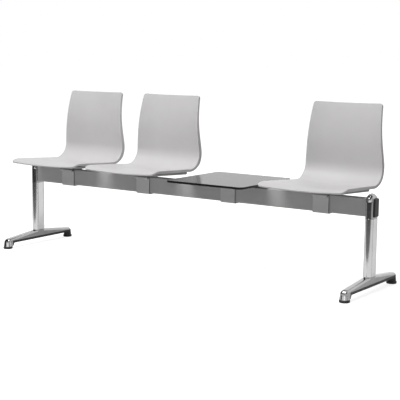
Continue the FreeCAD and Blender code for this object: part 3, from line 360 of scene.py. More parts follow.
ROUND = 1000.0
set_top = SET_START + SET_LENGTH
set_levels = [
    (SET_START, SET_POINT, ROUND),
    (SET_START + 1.2, SET_RADIUS, ROUND),
    (set_top - SET_CHAMFER, SET_RADIUS, ROUND),
    (set_top, SET_RADIUS - SET_CHAMFER, ROUND),
    (set_top, SOCKET_RADIUS + 0.4, ROUND),
    (set_top - 0.4, SOCKET_RADIUS, SOCKET_FLATS),
    (set_top - SOCKET_DEPTH, SOCKET_RADIUS, SOCKET_FLATS),
]
for side, way in (("left", -1), ("right", 1)):
    corner = (way * LEG_X, -BEAM_HALF_DEPTH, BEAM_TOP)
    finished_piece(
        "set_screw_steel_" + side,
        [closed_skin(placed(turned(set_levels), corner, SET_TILT))],
        black_zinc,
        ["set_screw_" + side],
    )


# Columns: hollow aluminium extrusions with round front and back, sawn to length and polished.
# Two fine grooves run down each side, in line with the front and the back of the beam.
COLUMN_RADIUS, COLUMN_WALL, COLUMN_FOOT = 19.25, 3.5, 73.5
GROOVE_Y, GROOVE_HALF, GROOVE_DEPTH = -20.0, 1.3, 1.5

polished = Finish("polished_aluminium")
polished.shader.inputs["Metallic"].default_value = 1.0
polished.colour(polished.grain(11), (0.80, 0.80, 0.80), (0.88, 0.88, 0.88))
polished.roughness(polished.grain(55, 4), 0.09, 0.15)
polished.relief((polished.grain(1500, 2, (1, 1, 0.04)), 0.0006))


def mirrored(half):
    """A closed outline from its right half, which starts right of the front's middle."""
    return np.concatenate((half, half[::-1] * (-1, 1)))


def column_outline(radius, groove):
    """Right half: the front arc with its groove, then the same mirrored to the rear, the straight
    side between them. A groove's bottom lies its depth in from the side."""
    front = math.asin((GROOVE_Y - GROOVE_HALF + STADIUM_CENTRE) / COLUMN_RADIUS)
    rear = math.asin((GROOVE_Y + GROOVE_HALF + STADIUM_CENTRE) / COLUMN_RADIUS)
    turn = np.r_[np.linspace(math.radians(-87.5), front, 22), rear, 0.0]
    x, y = radius * np.cos(turn), radius * np.sin(turn) - STADIUM_CENTRE
    bottom = radius * math.cos(front) - groove
    notch = [[bottom, y[21]], [bottom, y[22]]]
    arc = np.column_stack((x, y))
    quarter = np.concatenate((arc[:22], notch, arc[22:]))
    return mirrored(np.concatenate((quarter, quarter[::-1] * (1, -1))))


for side, way in (("left", -1), ("right", 1)):
    outside = column_outline(COLUMN_RADIUS, GROOVE_DEPTH)
    bore = column_outline(COLUMN_RADIUS - COLUMN_WALL, 0.0)
    levels = [
        (outside, COLUMN_FOOT),
        (outside, SADDLE_BASE),
        (bore, SADDLE_BASE),
        (bore, COLUMN_FOOT),
    ]
    loops = np.stack([np.insert(outline, 2, z, axis=1) for outline, z in levels])
    finished_piece(
        "column_extrusion_" + side,
        [closed_skin(loops + (way * LEG_X, 0, 0), "joined")],
        polished.material,
        ["column_" + side],
        edge=0.25,
    )


# Tie rods: zinc plated steel, hidden in the columns. Each pulls saddle, column and foot together
# by its hex head inside the foot, so its plain CAD shape stays and only takes the plating.
bright_zinc = plating("bright_zinc_plating", (0.66, 0.67, 0.68), (0.82, 0.82, 0.81))
for side in ("left", "right"):
    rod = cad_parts["tie_rod_" + side]
    rod.data.materials.clear()
    rod.data.materials.append(bright_zinc)


# Feet: polished aluminium castings that fall from the column to both ends. The front end turns
# down into a flared toe round its glide, and a collar meets the column.
FOOT_HALF, FOOT_TIP, FOOT_NOSE, FOOT_EDGE = 18.0, 248.0, 16.0, 11.0
FOOT_RIDGE, FOOT_FALL, FOOT_UNDERLINE = 74.8, 25.3 / 248.0, 40.0
TOE_REAR, GLIDE_Y, GLIDE_TOP, TOE_FLARE = -211.0, 230.0, 12.0, 4.5
TOE_HOOD, HEEL_HOOD, COLLAR_START, COLLAR_EASE, HAIR = 24.0, 18.0, 52.0, 0.3, 0.02


def foot_outline(inset):
    """Right half: the front nose, the straight side with points where the toe ends, and the rear
    nose, both noses round the same centres at every inset."""
    nose = np.radians(np.linspace(-90, 0, 11))
    radius, centre = FOOT_NOSE - inset, FOOT_TIP - FOOT_NOSE
    x, y = FOOT_HALF - FOOT_NOSE + radius * np.cos(nose), radius * np.sin(nose) - centre
    stops = np.array([-226, -221, -217, -213, TOE_REAR - HAIR, TOE_REAR + HAIR])
    stops = np.r_[stops, -205, -170, -120, -80, -45, -20, 0, 20, 45, 80, 120, 170, 215]
    straight = np.column_stack((np.full(len(stops), FOOT_HALF - inset), stops))
    front = np.column_stack((x, y))
    return mirrored(np.concatenate((front, straight, front[::-1] * (1, -1))))


def foot_loops():
    """Sides from the underside up, then a quarter circle in from them to the sloping top, which
    falls on a larger quarter circle at both ends. Below the underline the toe's points move out
    from the glide's axis to a cone's radius."""
    loops = []
    for level in (GLIDE_TOP, 19.0, 26.0, 33.0, FOOT_UNDERLINE):
        outline = foot_outline(0.0)
        toe = outline[:, 1] < TOE_REAR
        out = outline + (0, GLIDE_Y)
        reach = np.linalg.norm(out, axis=1)
        cone = FOOT_HALF + TOE_FLARE * (FOOT_UNDERLINE - level) / (FOOT_UNDERLINE - GLIDE_TOP)
        grown = out * (np.maximum(reach, cone) / reach)[:, None] - (0, GLIDE_Y)
        plan = np.where(toe[:, None], grown, outline)
        loops.append(np.column_stack((plan, np.where(toe, level, FOOT_UNDERLINE))))
    for angle in np.radians(np.linspace(0, 90, 12)):
        plan = foot_outline(FOOT_EDGE * (1 - math.cos(angle)))
        y = plan[:, 1]
        hood = np.where(y < 0, TOE_HOOD, HEEL_HOOD)
        past = np.clip(np.abs(y) - (FOOT_TIP - hood), 0, hood)
        top = FOOT_RIDGE - FOOT_FALL * np.abs(y) - hood + np.sqrt(hood**2 - past**2)
        z = np.minimum(top - FOOT_EDGE * (1 - math.sin(angle)), COLUMN_FOOT - COLLAR_EASE)
        z = np.maximum(z, np.where(y < TOE_REAR, GLIDE_TOP, FOOT_UNDERLINE))
        loops.append(np.column_stack((plan, z)))
    return np.stack(loops)


def collar_loops():
    """A stadium a hair inside the foot's sides, up to the column, its rim rounded."""
    turn = np.radians(np.linspace(-87.5, 87.5, 60))
    rim = COLUMN_FOOT - COLLAR_EASE
    levels = [(HAIR, COLLAR_START), (HAIR, rim), (0.1, rim + 0.2)]
    levels.append((HAIR + COLLAR_EASE, COLUMN_FOOT))
    loops = []
    for inset, z in levels:
        radius = FOOT_HALF - inset
        y = radius * np.sin(turn) + STADIUM_CENTRE * np.sign(turn)
        loops.append(np.insert(mirrored(np.column_stack((radius * np.cos(turn), y))), 2, z, 1))
    return np.stack(loops)


for side, way in (("left", -1), ("right", 1)):
    place = (way * LEG_X, 0, 0)
    finished_piece(
        "foot_casting_" + side,
        [closed_skin(foot_loops() + place, "zipped"), closed_skin(collar_loops() + place)],
        casting.material,
        ["foot_" + side],
        edge=0.6,
    )


# Undertrays: black mouldings that close the feet from below. The rear end is a flared heel over
# the rear glide, and the front end is wedged up behind the toe.
TRAY_UNDERLINE, TRAY_FRONT, WEDGE_FOOT, HEEL_FLARE = 28.0, -210.7, 13.0, 2.5

tray_y = np.array([TRAY_FRONT, TRAY_FRONT + 3, TRAY_FRONT + 11, -150, 0, 150, GLIDE_Y])
tray_bottom = np.array([WEDGE_FOOT] * 2 + [TRAY_UNDERLINE] * 5)
tray_side = mirrored(np.column_stack((np.full(7, FOOT_HALF - 0.05), tray_y)))
tray_loops = np.stack(
    [
        np.insert(tray_side, 2, np.r_[tray_bottom, tray_bottom[::-1]], axis=1),
        np.insert(tray_side, 2, FOOT_UNDERLINE - HAIR, axis=1),
    ]
)
heel_levels = [
    (GLIDE_TOP, FOOT_HALF + HEEL_FLARE, ROUND),
    (FOOT_UNDERLINE - HAIR, FOOT_HALF - HAIR, ROUND),
]
for side, way in (("left", -1), ("right", 1)):
    place = (way * LEG_X, 0, 0)
    heel = turned(heel_levels, 72) + (way * LEG_X, GLIDE_Y, 0)
    finished_piece(
        "undertray_moulding_" + side,
        [closed_skin(tray_loops + place, "zipped"), closed_skin(heel)],
        black_moulding.material,
        ["undertray_" + side],
        edge=0.6,
    )


# Glides: black plastic pads on threaded stems. Each turns in the foot to level the bench, and
# its thread climbs 1.5 mm a turn.
GLIDE_RADIUS, GLIDE_SHOULDER, GLIDE_BEVEL = 23.5, 11.7, 2.0
STEM_RADIUS, STEM_TOP, PITCH = 5.0, 46.0, 1.5


def thread_loops(low, high, around=24):
    """A screw thread: the radius falls by a share of the pitch with the distance, in turns, from
    the crest that climbs round the stem."""
    z = np.arange(low, high + 1e-6, PITCH / 6)[:, None]
    turn = np.arange(around)[None, :] * 2 * math.pi / around
    off_crest = np.abs((z / PITCH - turn / (2 * math.pi)) % 1 - 0.5) * 2
    faded = np.clip((high - z) / PITCH, 0, 1)
    radius = STEM_RADIUS - 0.45 * PITCH * (1 - faded * off_crest)
    return np.stack(
        (radius * np.cos(turn), radius * np.sin(turn), np.broadcast_to(z, radius.shape)), axis=-1
    )


pad_levels = [
    (0, GLIDE_RADIUS - GLIDE_BEVEL, ROUND),
    (GLIDE_BEVEL, GLIDE_RADIUS, ROUND),
    (GLIDE_SHOULDER - GLIDE_BEVEL, GLIDE_RADIUS, ROUND),
    (GLIDE_SHOULDER, GLIDE_RADIUS - GLIDE_BEVEL, ROUND),
]
for side, way in (("left", -1), ("right", 1)):
    for end, to in (("front", -1), ("rear", 1)):
        name = f"glide_{end}_{side}"
        place = (way * LEG_X, to * GLIDE_Y, 0)
        finished_piece(
            f"glide_pad_{end}_{side}",
            [
                closed_skin(turned(pad_levels, 72) + place),
                closed_skin(thread_loops(GLIDE_SHOULDER - 1, STEM_TOP) + place),
            ],
            black_moulding.material,
            [name],
            body=name,
            edge=0.5,
        )


# Straps: flat steel, 80 by 5 mm, bent into a U round the front, underside and back of the beam,
# with an ear turned out at each end for the bolts. Powder coated like the beam, a shade lighter.
# The sawn sides of the flat are coloured dark: painted shade for the shadow line along them.
PLACES = {"left": -740.0, "centre": -250.0, "table": 250.0, "right": 740.0}
STRAP_HALF_WIDTH, STRAP_PLATE, STRAP_BEND = 40.0, 5.0, 3.5
STRAP_Y, EAR_REACH, EAR_MIDDLE = 23.0, 42.0, 410.0
strap_coat = powder_coat("strap_coat", (0.625, 0.616, 0.618), (0.665, 0.656, 0.658), 0.44)
painted_side_shade_coat = powder_coat("strap_side_painted_shade", (0.110, 0.108, 0.109), (0.150, 0.148, 0.149), 0.60)


def bent_plate(corners, bend, half_width, plate, steps=7):
    """A flat plate carried along a line of straights, each corner turned on an arc of the bend's
    radius. At each station the section is the plate's width along X and its thickness square
    to the line."""
    corners = np.array(corners, float)
    ahead = np.diff(corners, axis=0)
    ahead /= np.linalg.norm(ahead, axis=1)[:, None]
    middles, normals = [corners[:1]], [ahead[:1]]
    for corner, before, after in zip(corners[1:-1], ahead[:-1], ahead[1:]):
        share = np.linspace(0, math.pi / 2, steps)[:, None]
        centre = corner + bend * (after - before)
        middles.append(centre - bend * (after * np.cos(share) - before * np.sin(share)))
        normals.append(before * np.cos(share) + after * np.sin(share))
    middles = np.concatenate(middles + [corners[-1:]])
    ways = np.concatenate(normals + [ahead[-1:]])
    square = np.column_stack((-ways[:, 1], ways[:, 0])) * plate / 2
    near, far = middles + square, middles - square
    sides = np.stack((near, near, far, far), 1)
    x = np.broadcast_to(np.array([-1, 1, 1, -1]) * half_width, sides.shape[:2])
    return np.concatenate((x[..., None], sides), axis=-1)


strap_foot = BEAM_UNDERSIDE - STRAP_PLATE / 2
strap_line = [
    (-EAR_REACH, EAR_MIDDLE),
    (-STRAP_Y, EAR_MIDDLE),
    (-STRAP_Y, strap_foot),
    (STRAP_Y, strap_foot),
    (STRAP_Y, EAR_MIDDLE),
    (EAR_REACH, EAR_MIDDLE),
]
for place, x in PLACES.items():
    loops = bent_plate(strap_line, STRAP_BEND, STRAP_HALF_WIDTH, STRAP_PLATE)
    strap = finished_piece(
        "strap_plate_" + place,
        [closed_skin(loops + (x, 0, 0))],
        strap_coat,
        ["strap_" + place],
        edge=0.4,
    )
    strap.data.materials.append(painted_side_shade_coat)
    # Faces that point along X, the strap's sides, take the second, dark coat: painted shade for
    # the shadow line there, not the steel's own colour.
    for face in strap.data.polygons:
        face.material_index = int(abs(face.normal.x) > 0.9)


# Strap bolts: four zinc plated M8 hex bolts with nuts at each place, heads under the ears.
# They pull the strap up and the carrier down on the beam.
BOLT_X, BOLT_Y, BOLT_RADIUS, BOLT_FLATS, BOLT_CORNERS = 28.0, 33.5, 4.0, 13.0, 7.6
HEAD_FOOT, EAR_BOTTOM, NUT_FOOT, NUT_TOP, BOLT_TOP = 402.0, 407.5, 420.0, 425.0, 425.5

head_levels = [
    (HEAD_FOOT, 2.0, ROUND),
    (HEAD_FOOT, 6.1, BOLT_FLATS),
    (HEAD_FOOT + 0.3, 6.6, BOLT_FLATS),
    (HEAD_FOOT + 0.8, BOLT_CORNERS, BOLT_FLATS),
    (EAR_BOTTOM, BOLT_CORNERS, BOLT_FLATS),
    (EAR_BOTTOM, BOLT_RADIUS, ROUND),
    (BOLT_TOP - 0.5, BOLT_RADIUS, ROUND),
    (BOLT_TOP, BOLT_RADIUS - 0.6, ROUND),
]
nut_levels = [
    (NUT_FOOT, 6.3, BOLT_FLATS),
    (NUT_FOOT + 0.5, BOLT_CORNERS, BOLT_FLATS),
    (NUT_TOP - 0.8, BOLT_CORNERS, BOLT_FLATS),
    (NUT_TOP - 0.3, 6.6, BOLT_FLATS),
    (NUT_TOP, 6.1, BOLT_FLATS),
    (NUT_TOP, BOLT_RADIUS + 0.1, ROUND),
    (NUT_FOOT, BOLT_RADIUS + 0.1, ROUND),
]
for place, x in PLACES.items():
    spots = [(x + i * BOLT_X, j * BOLT_Y, 0) for i in (-1, 1) for j in (-1, 1)]
    skins = [closed_skin(turned(head_levels) + spot) for spot in spots]
    skins += [closed_skin(turned(nut_levels) + spot, "joined") for spot in spots]
    finished_piece(
        "strap_bolt_set_" + place,
        skins,
        bright_zinc,
        ["strap_bolts_" + place],
    )


# Carriers: cast aluminium blocks on top of the beam, a flat base and a boss up to what they
# carry. The three under the seats slope with the pan, and all are painted grey over the casting.
CARRIER_HALF, CARRIER_REACH, CARRIER_BASE, BOSS_HALF, BOSS_REACH = 42.0, 43.0, 6.0, 36.0, 22.0
CARRIER_CORNER, BOSS_CORNER = 5.0, 3.0
PAN_SLOPE, PAN_ORIGIN, TABLE_PLATE_FOOT = 3.2, 430.0, 426.0

cast_paint = Finish("painted_casting")
cast_paint.colour(cast_paint.grain(30), (0.20, 0.20, 0.20), (0.26, 0.26, 0.26))
cast_paint.roughness(cast_paint.grain(120), 0.45, 0.62)
cast_paint.relief((cast_paint.grain(480, 4), 0.12))

for place, x in PLACES.items():
    base = rounded_rectangle(CARRIER_HALF, -CARRIER_REACH, CARRIER_REACH, CARRIER_CORNER)
    boss = rounded_rectangle(BOSS_HALF, -BOSS_REACH, BOSS_REACH, BOSS_CORNER)
    base_loops = stacked(base, [(0, BEAM_TOP), (0, BEAM_TOP + CARRIER_BASE)])
    boss_top = PAN_ORIGIN if place != "table" else TABLE_PLATE_FOOT
    slope = math.tan(math.radians(PAN_SLOPE)) if place != "table" else 0.0
    boss_loops = stacked(boss, [(0, BEAM_TOP + 1), (0, boss_top - HAIR)])
    boss_loops[1, :, 2] -= boss_loops[1, :, 1] * slope
    finished_piece(
        "carrier_casting_" + place,
        [closed_skin(base_loops + (x, 0, 0)), closed_skin(boss_loops + (x, 0, 0))],
        cast_paint.material,
        ["carrier_" + place],
        edge=0.8,
    )


# Seat frames: steel trays pressed from 3 mm sheet, the rim turned up to the shell. Each is
# screwed to its carrier along the slope of the pan and powder coated grey.
SEATS = ("left", "centre", "right")
FRAME_HALF, FRAME_FRONT, FRAME_REAR, FRAME_CORNER = 168.0, -150.0, 122.0, 14.0
FRAME_EDGE, FRAME_SHEET, FRAME_LIP = 5.0, 3.0, 11.5
frame_coat = powder_coat("frame_coat", (0.360, 0.355, 0.356), (0.400, 0.395, 0.396), 0.45)

pressed = rounded_rectangle(FRAME_HALF, FRAME_FRONT, FRAME_REAR, FRAME_CORNER)
quarter = np.radians(np.linspace(90, 0, 7))
pressed_levels = [
    (FRAME_EDGE * (1 - math.cos(a)), FRAME_EDGE * (1 - math.sin(a))) for a in quarter
]
pressed_levels += [
    (0, FRAME_LIP - 0.5),
    (0.5, FRAME_LIP),
    (FRAME_SHEET - 0.5, FRAME_LIP),
    (FRAME_SHEET, FRAME_LIP - 0.5),
]
inner_radius = FRAME_EDGE - FRAME_SHEET
pressed_levels += [
    tuple(FRAME_SHEET + inner_radius * (1 - part) for part in (math.cos(a), math.sin(a)))
    for a in quarter[::-1]
]
for seat in SEATS:
    pan_place = (PLACES[seat], 0, PAN_ORIGIN)
    finished_piece(
        "seat_frame_pressing_" + seat,
        [closed_skin(placed(stacked(pressed, pressed_levels), pan_place, -PAN_SLOPE))],
        frame_coat,
        ["seat_frame_" + seat],
    )
    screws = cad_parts["frame_screws_" + seat]
    screws.data.materials.clear()
    screws.data.materials.append(bright_zinc)


# Seat shells: each pan and back is one piece of injection moulded polypropylene, light grey with
# a fine satin grain. Thin in the middle and thicker round its edge, it flexes at the bend.
WATERFALL_RADIUS, BEND_RADIUS, BACK_RADIUS = 120.0, 75.0, 570.0
FRONT_REACH, WATERFALL_START, BEND_START = 225.0, 166.0, 100.0
EDGE_RISE, BACK_TOP, BACK_STRAIGHT, UPRIGHT = 460.0, 810.0, 57.0, math.radians(93.4)
FRONT_CORNER, TOP_CORNER, TOP_EDGE, LOW_EDGE, SHELL_WALL = 25.0, 12.0, 2.5, 1.5, 7.0
FRONT_WIDTH, REAR_WIDTH, FOOT_WIDTH, TOP_WIDTH = 428.0, 396.0, 390.0, 344.0
FRONT_DISH, PAN_DISH, BEND_DISH, BACK_DISH = 5.0, 12.0, 14.0, 22.0
FRONT_RIM, PAN_RIM, BEND_RIM, BACK_RIM = 9.0, 14.0, 22.0, 14.0
FRONT_BOW, BOW_REACH, TOP_CROWN = 6.0, 110.0, 4.0

shell_plastic = Finish("moulded_seat_plastic")
shell_plastic.colour(shell_plastic.grain(7), (0.705, 0.693, 0.697), (0.738, 0.726, 0.730))
shell_plastic.roughness(shell_plastic.grain(30), 0.42, 0.52)
shell_plastic.relief((shell_plastic.grain(1300, 3), 0.02), (shell_plastic.grain(16, 1), 0.10))


def eased(start, end, share):
    """A value that eases from start to end as share goes from 0 to 1: three times its square
    less twice its cube."""
    share = np.clip(share, 0, 1)
    return start + (end - start) * share**2 * (3 - 2 * share)


def side_line():
    """The shell's side edge seen from the side, front to back: an arc over the waterfall, the
    slope of the pan, the bend, the straight foot of the back and the arc that leans the top
    away. Its direction changes evenly along each, and its place is the running sum of that."""
    slope = -math.radians(PAN_SLOPE)
    tip = math.asin(math.sin(slope) + (FRONT_REACH - WATERFALL_START) / WATERFALL_RADIUS)
    bend_z = EDGE_RISE + BEND_START * math.tan(slope)
    foot_z = bend_z + BEND_RADIUS * (math.cos(slope) - math.cos(UPRIGHT))
    curve_z = foot_z + BACK_STRAIGHT * math.sin(UPRIGHT)
    top = math.acos(math.cos(UPRIGHT) + (BACK_TOP - curve_z) / BACK_RADIUS)
    pan = (WATERFALL_START + BEND_START) / math.cos(slope)
    runs = [
        WATERFALL_RADIUS * (tip - slope),
        pan,
        BEND_RADIUS * (UPRIGHT - slope),
        BACK_STRAIGHT,
        BACK_RADIUS * (UPRIGHT - top),
    ]
    ends = np.cumsum([0.0] + runs)
    fine = np.linspace(0, ends[-1], 20001)
    way = np.interp(fine, ends, [tip, slope, slope, UPRIGHT, UPRIGHT, top])
    step = fine[1]
    between = (way[1:] + way[:-1]) / 2
    start_z = EDGE_RISE - WATERFALL_START * math.tan(slope)
    start_z += WATERFALL_RADIUS * (math.cos(tip) - math.cos(slope))
    y = np.r_[0, np.cumsum(np.cos(between) * step)] - FRONT_REACH
    z = np.r_[0, np.cumsum(np.sin(between) * step)] + start_z
    return ends, fine, way, y, z, bend_z, foot_z


def shell_loops():
    """Rows across the shell, each one loop: the face from left to right, then the underside back.
    A point's share of the half width sets how far it sinks, by the dish times one less the
    share squared, and how far it slides along, by the crown at the top or the bow at the front.
    The underside sinks by the wall more, and by the rim at the edges with the share's fourth
    power. Near the border both sheets turn in on a quarter circle, and the corners are round."""
    ends, fine, way, y, z, bend_z, foot_z = side_line()
    total = ends[-1]
    edge = np.array([0, 0.06, 0.22, 0.5, 0.85, 1.3, 1.85])
    near = np.r_[edge, 2.5, 3.6, 5, 7, 9.5, 12.5, 16, 20, FRONT_CORNER]
    middle = np.linspace(FRONT_CORNER, total - FRONT_CORNER, 128)[1:-1]
    rows = np.r_[near, middle, total - near[::-1]]
    a, y, z = (np.interp(rows, fine, values) for values in (way, y, z))
    along_pan = (y + FRONT_REACH) / (FRONT_REACH + BEND_START)
    up_bend, up_back = (z - bend_z) / (foot_z - bend_z), (z - foot_z) / (BACK_TOP - foot_z)
    zone = np.searchsorted(ends[2:4], rows)

    def by_zone(pan, bend, back):
        return np.choose(zone, (pan, bend, back))

    half = by_zone(
        FRONT_WIDTH - (FRONT_WIDTH - REAR_WIDTH) * along_pan,
        eased(REAR_WIDTH, FOOT_WIDTH, up_bend),
        FOOT_WIDTH - (FOOT_WIDTH - TOP_WIDTH) * up_back,
    ) / 2
    dish = by_zone(
        eased(FRONT_DISH, PAN_DISH, 2 * along_pan),
        eased(PAN_DISH, BEND_DISH, up_bend),
        eased(BEND_DISH, BACK_DISH, up_back),
    )
    rim = by_zone(
        eased(FRONT_RIM, PAN_RIM, 3 * along_pan),
        eased(PAN_RIM, BEND_RIM, 2 * up_bend),
        eased(BEND_RIM, BACK_RIM, 1.5 * up_back),
    )
    slide = by_zone(
        -FRONT_BOW * eased(1, 0, (y + FRONT_REACH) / BOW_REACH),
        0 * y,
        TOP_CROWN * eased(0, 1, 4 * up_back - 3),
    )

    def corner_bite(radius, distance):
        away = np.clip(radius - distance, 0, radius)
        return radius - np.sqrt(radius**2 - away**2)

    row_half = half - corner_bite(FRONT_CORNER, rows) - corner_bite(TOP_CORNER, total - rows)
    share = np.linspace(-1, 1, 57)
    x = share[None, :] * (row_half[:, None] - TOP_EDGE)
    x = np.hstack((edge - row_half[:, None], x, (row_half[:, None] - edge)[:, ::-1]))
    from_side = half[:, None] - np.abs(x)

    def to_border(radius, from_end):
        round_part = radius - np.hypot(radius - from_side, radius - from_end)
        in_corner = (from_side < radius) & (from_end < radius)
        return np.where(in_corner, round_part, np.minimum(from_side, from_end))

    border = np.minimum(
        to_border(FRONT_CORNER, rows[:, None]), to_border(TOP_CORNER, (total - rows)[:, None])
    )

    def turned_in(radius):
        left = np.clip(radius - border, 0, radius)
        return radius - np.sqrt(radius**2 - left**2)

    u = x / half[:, None]
    hollow = dish[:, None] * (1 - u**2)
    wall = SHELL_WALL + (rim[:, None] - SHELL_WALL) * u**4
    shift = slide[:, None] * (1 - u**2)
    sin, cos = np.sin(a)[:, None], np.cos(a)[:, None]

    def sheet(sink):
        return np.stack(
            (x, y[:, None] + sink * sin + shift * cos, z[:, None] - sink * cos + shift * sin), -1
        )

    face = sheet(hollow + turned_in(TOP_EDGE))
    underside = sheet(hollow + wall - turned_in(LOW_EDGE))
    return np.concatenate((face, underside[:, ::-1]), axis=1)


# Four round bosses under each pan take its screws.
BOSS_X, BOSS_FRONT, BOSS_REAR = 110.0, -90.0, 70.0
BOSS_FOOT, BOSS_ROOT, BOSS_BORE = 3.0, 18.0, 2.55

boss_spots = [(i * BOSS_X, y, 0) for i in (-1, 1) for y in (BOSS_FRONT, BOSS_REAR)]
boss_levels = [
    (BOSS_FOOT, 9.0, ROUND),
    (BOSS_ROOT, 9.3, ROUND),
    (BOSS_ROOT, BOSS_BORE, ROUND),
    (BOSS_FOOT, BOSS_BORE, ROUND),
]
for seat in SEATS:
    place = (PLACES[seat], 0, 0)
    skins = [closed_skin(shell_loops() + place, "zipped")]
    pan_place = (PLACES[seat], 0, PAN_ORIGIN)
    for spot in boss_spots:
        boss_loops = placed(turned(boss_levels) + spot, pan_place, -PAN_SLOPE)
        skins.append(closed_skin(boss_loops, "joined"))
    finished_piece(
        "seat_shell_moulding_" + seat,
        skins,
        shell_plastic.material,
        ["seat_shell_" + seat],
    )


# Shell screws: four zinc plated button-head screws to a seat, driven up through the pressed
# frame into the bosses under the pan. Their heads show from below.
SHELL_SCREW_RADIUS, SHELL_SCREW_LENGTH = 2.5, 17.0


def button_head_levels(radius, length):
    """Head and shank of a screw that points up: a low dome with a hex socket in it, its flat side
    on the plate at height nought. The dome is as wide as twice the shank's radius."""
    dome = [
        (-3.0 * math.sin(a), radius * 2 * math.cos(a) ** 0.7, ROUND)
        for a in np.radians((75, 60, 40, 20, 5))
    ]
    socket = [(-1.3, radius * 0.8, radius * 1.2), (-2.9, radius * 0.8, radius * 1.2)]
    return socket + dome + [(0, radius * 2, ROUND), (0, radius, ROUND), (length, radius, ROUND)]


for seat in SEATS:
    pan_place = (PLACES[seat], 0, PAN_ORIGIN)
    levels = button_head_levels(SHELL_SCREW_RADIUS, SHELL_SCREW_LENGTH)
    finished_piece(
        "shell_screw_set_" + seat,
        [
            closed_skin(placed(turned(levels, 36) + spot, pan_place, -PAN_SLOPE))
            for spot in boss_spots
        ],
        bright_zinc,
        ["shell_screws_" + seat],
    )


# Table: a compact laminate top, 10 mm thick and black through its edge, on a steel plate that is
# screwed to the carrier. Button heads hold the top from below.
TABLE_X, PLATE_HALF, PLATE_REACH, TOP_HALF = PLACES["table"], 110.0, 130.0, 210.0
SCREW_X, SCREW_Y, SCREW_RADIUS, SCREW_LENGTH = 90.0, 110.0, 2.5, 9.0
TOP_FRONT, TOP_REAR, TOP_RADIUS = -235.0, 207.0, 25.0
TOP_FOOT, TOP_FACE = 430.0, 440.0

laminate = Finish("compact_laminate")
laminate.colour(laminate.grain(700, 2), (0.010, 0.010, 0.010), (0.017, 0.017, 0.016))
laminate.roughness(laminate.grain(160), 0.18, 0.22)
laminate.relief((laminate.grain(900, 3), 0.004))

plate = rounded_rectangle(PLATE_HALF, -PLATE_REACH, PLATE_REACH, TOP_RADIUS)
plate_levels = [(0, TABLE_PLATE_FOOT), (0, TOP_FOOT - HAIR)]
finished_piece(
    "table_plate_steel",
    [closed_skin(stacked(plate, plate_levels) + (TABLE_X, 0, 0))],
    frame_coat,
    ["table_plate"],
    edge=0.5,
)
slab = rounded_rectangle(TOP_HALF, TOP_FRONT, TOP_REAR, TOP_RADIUS, 12)
finished_piece(
    "table_top_laminate",
    [closed_skin(stacked(slab, [(0, TOP_FOOT), (0, TOP_FACE)]) + (TABLE_X, 0, 0))],
    laminate.material,
    ["table_top"],
    edge=1.0,
)
screw_spots = [
    (TABLE_X + i * SCREW_X, j * SCREW_Y, TABLE_PLATE_FOOT) for i in (-1, 1) for j in (-1, 1)
]
screw_levels = button_head_levels(SCREW_RADIUS, SCREW_LENGTH)
finished_piece(
    "table_screw_set",
    [closed_skin(turned(screw_levels, 36) + spot) for spot in screw_spots],
    bright_zinc,
    ["table_screws"],
)


# Studio: a plain white floor that runs out to a white surround, a large soft lamp above and in
# front, a weak one low in front and a fill behind, and a long lens at the photograph's angle.
# Black cloths on the floor and around only show as dark streaks in the polished metal.
NEAR_LIFT, FAR_LIFT, SHINE_LIFT, SOFT_LIGHT = 0.82, 0.95, 0.23, 0.18
CLOTH_REACH, CLOTH_EDGE, CLOTH_LEVEL, CLOTH_FADE = 12, -0.73, 0.002, -2.2
FLOOR_REACH, FLOOR_LEVEL, CORNERS = 30.0, -0.0005, ((-1, -1), (1, -1), (1, 1), (-1, 1))
FADE_START, FADE_END = 1.2, 4.0
CAMERA_PLACE, FOCAL_LENGTH, SENSOR_WIDTH = (2.982, -4.192, 1.062), 97.07, 36


def flat_card(name, corners, finish):
    """One four-sided face through the corners, in metres."""
    mesh = bpy.data.meshes.new(name)
    mesh.from_pydata(corners, [], [(0, 1, 2, 3)])
    mesh.materials.append(finish)
    card = bpy.data.objects.new(name, mesh)
    bpy.context.scene.collection.objects.link(card)
    return card


floor_paint = Finish("studio_floor_paint")
floor_paint.colour(floor_paint.grain(3), (0.66, 0.66, 0.66), (0.68, 0.68, 0.68))
floor_paint.shader.inputs["Roughness"].default_value = 0.9
floor_paint.shader.inputs["Specular IOR Level"].default_value = 0.0


def ray_share(nodes, links, *kinds):
    """One for the kinds of ray that Light Path names, else nought."""
    path = nodes.new("ShaderNodeLightPath")
    share = path.outputs[kinds[0]]
    for kind in kinds[1:]:
        either = nodes.new("ShaderNodeMath")
        either.operation = "MAXIMUM"
        links.new(share, either.inputs[0])
        links.new(path.outputs[kind], either.inputs[1])
        share = either.outputs[0]
    return share


def level_of(nodes, links, share, low, high):
    """Low where the share is nought, high where it is one."""
    level = nodes.new("ShaderNodeMapRange")
    level.inputs["To Min"].default_value = low
    level.inputs["To Max"].default_value = high
    links.new(share, level.inputs["Value"])
    return level.outputs["Result"]


def added(nodes, links, first, second, operation="ADD"):
    """The sum of two values, or their product with the operation MULTIPLY."""
    total = nodes.new("ShaderNodeMath")
    total.operation = operation
    links.new(first, total.inputs[0])
    links.new(second, total.inputs[1])
    return total.outputs[0]


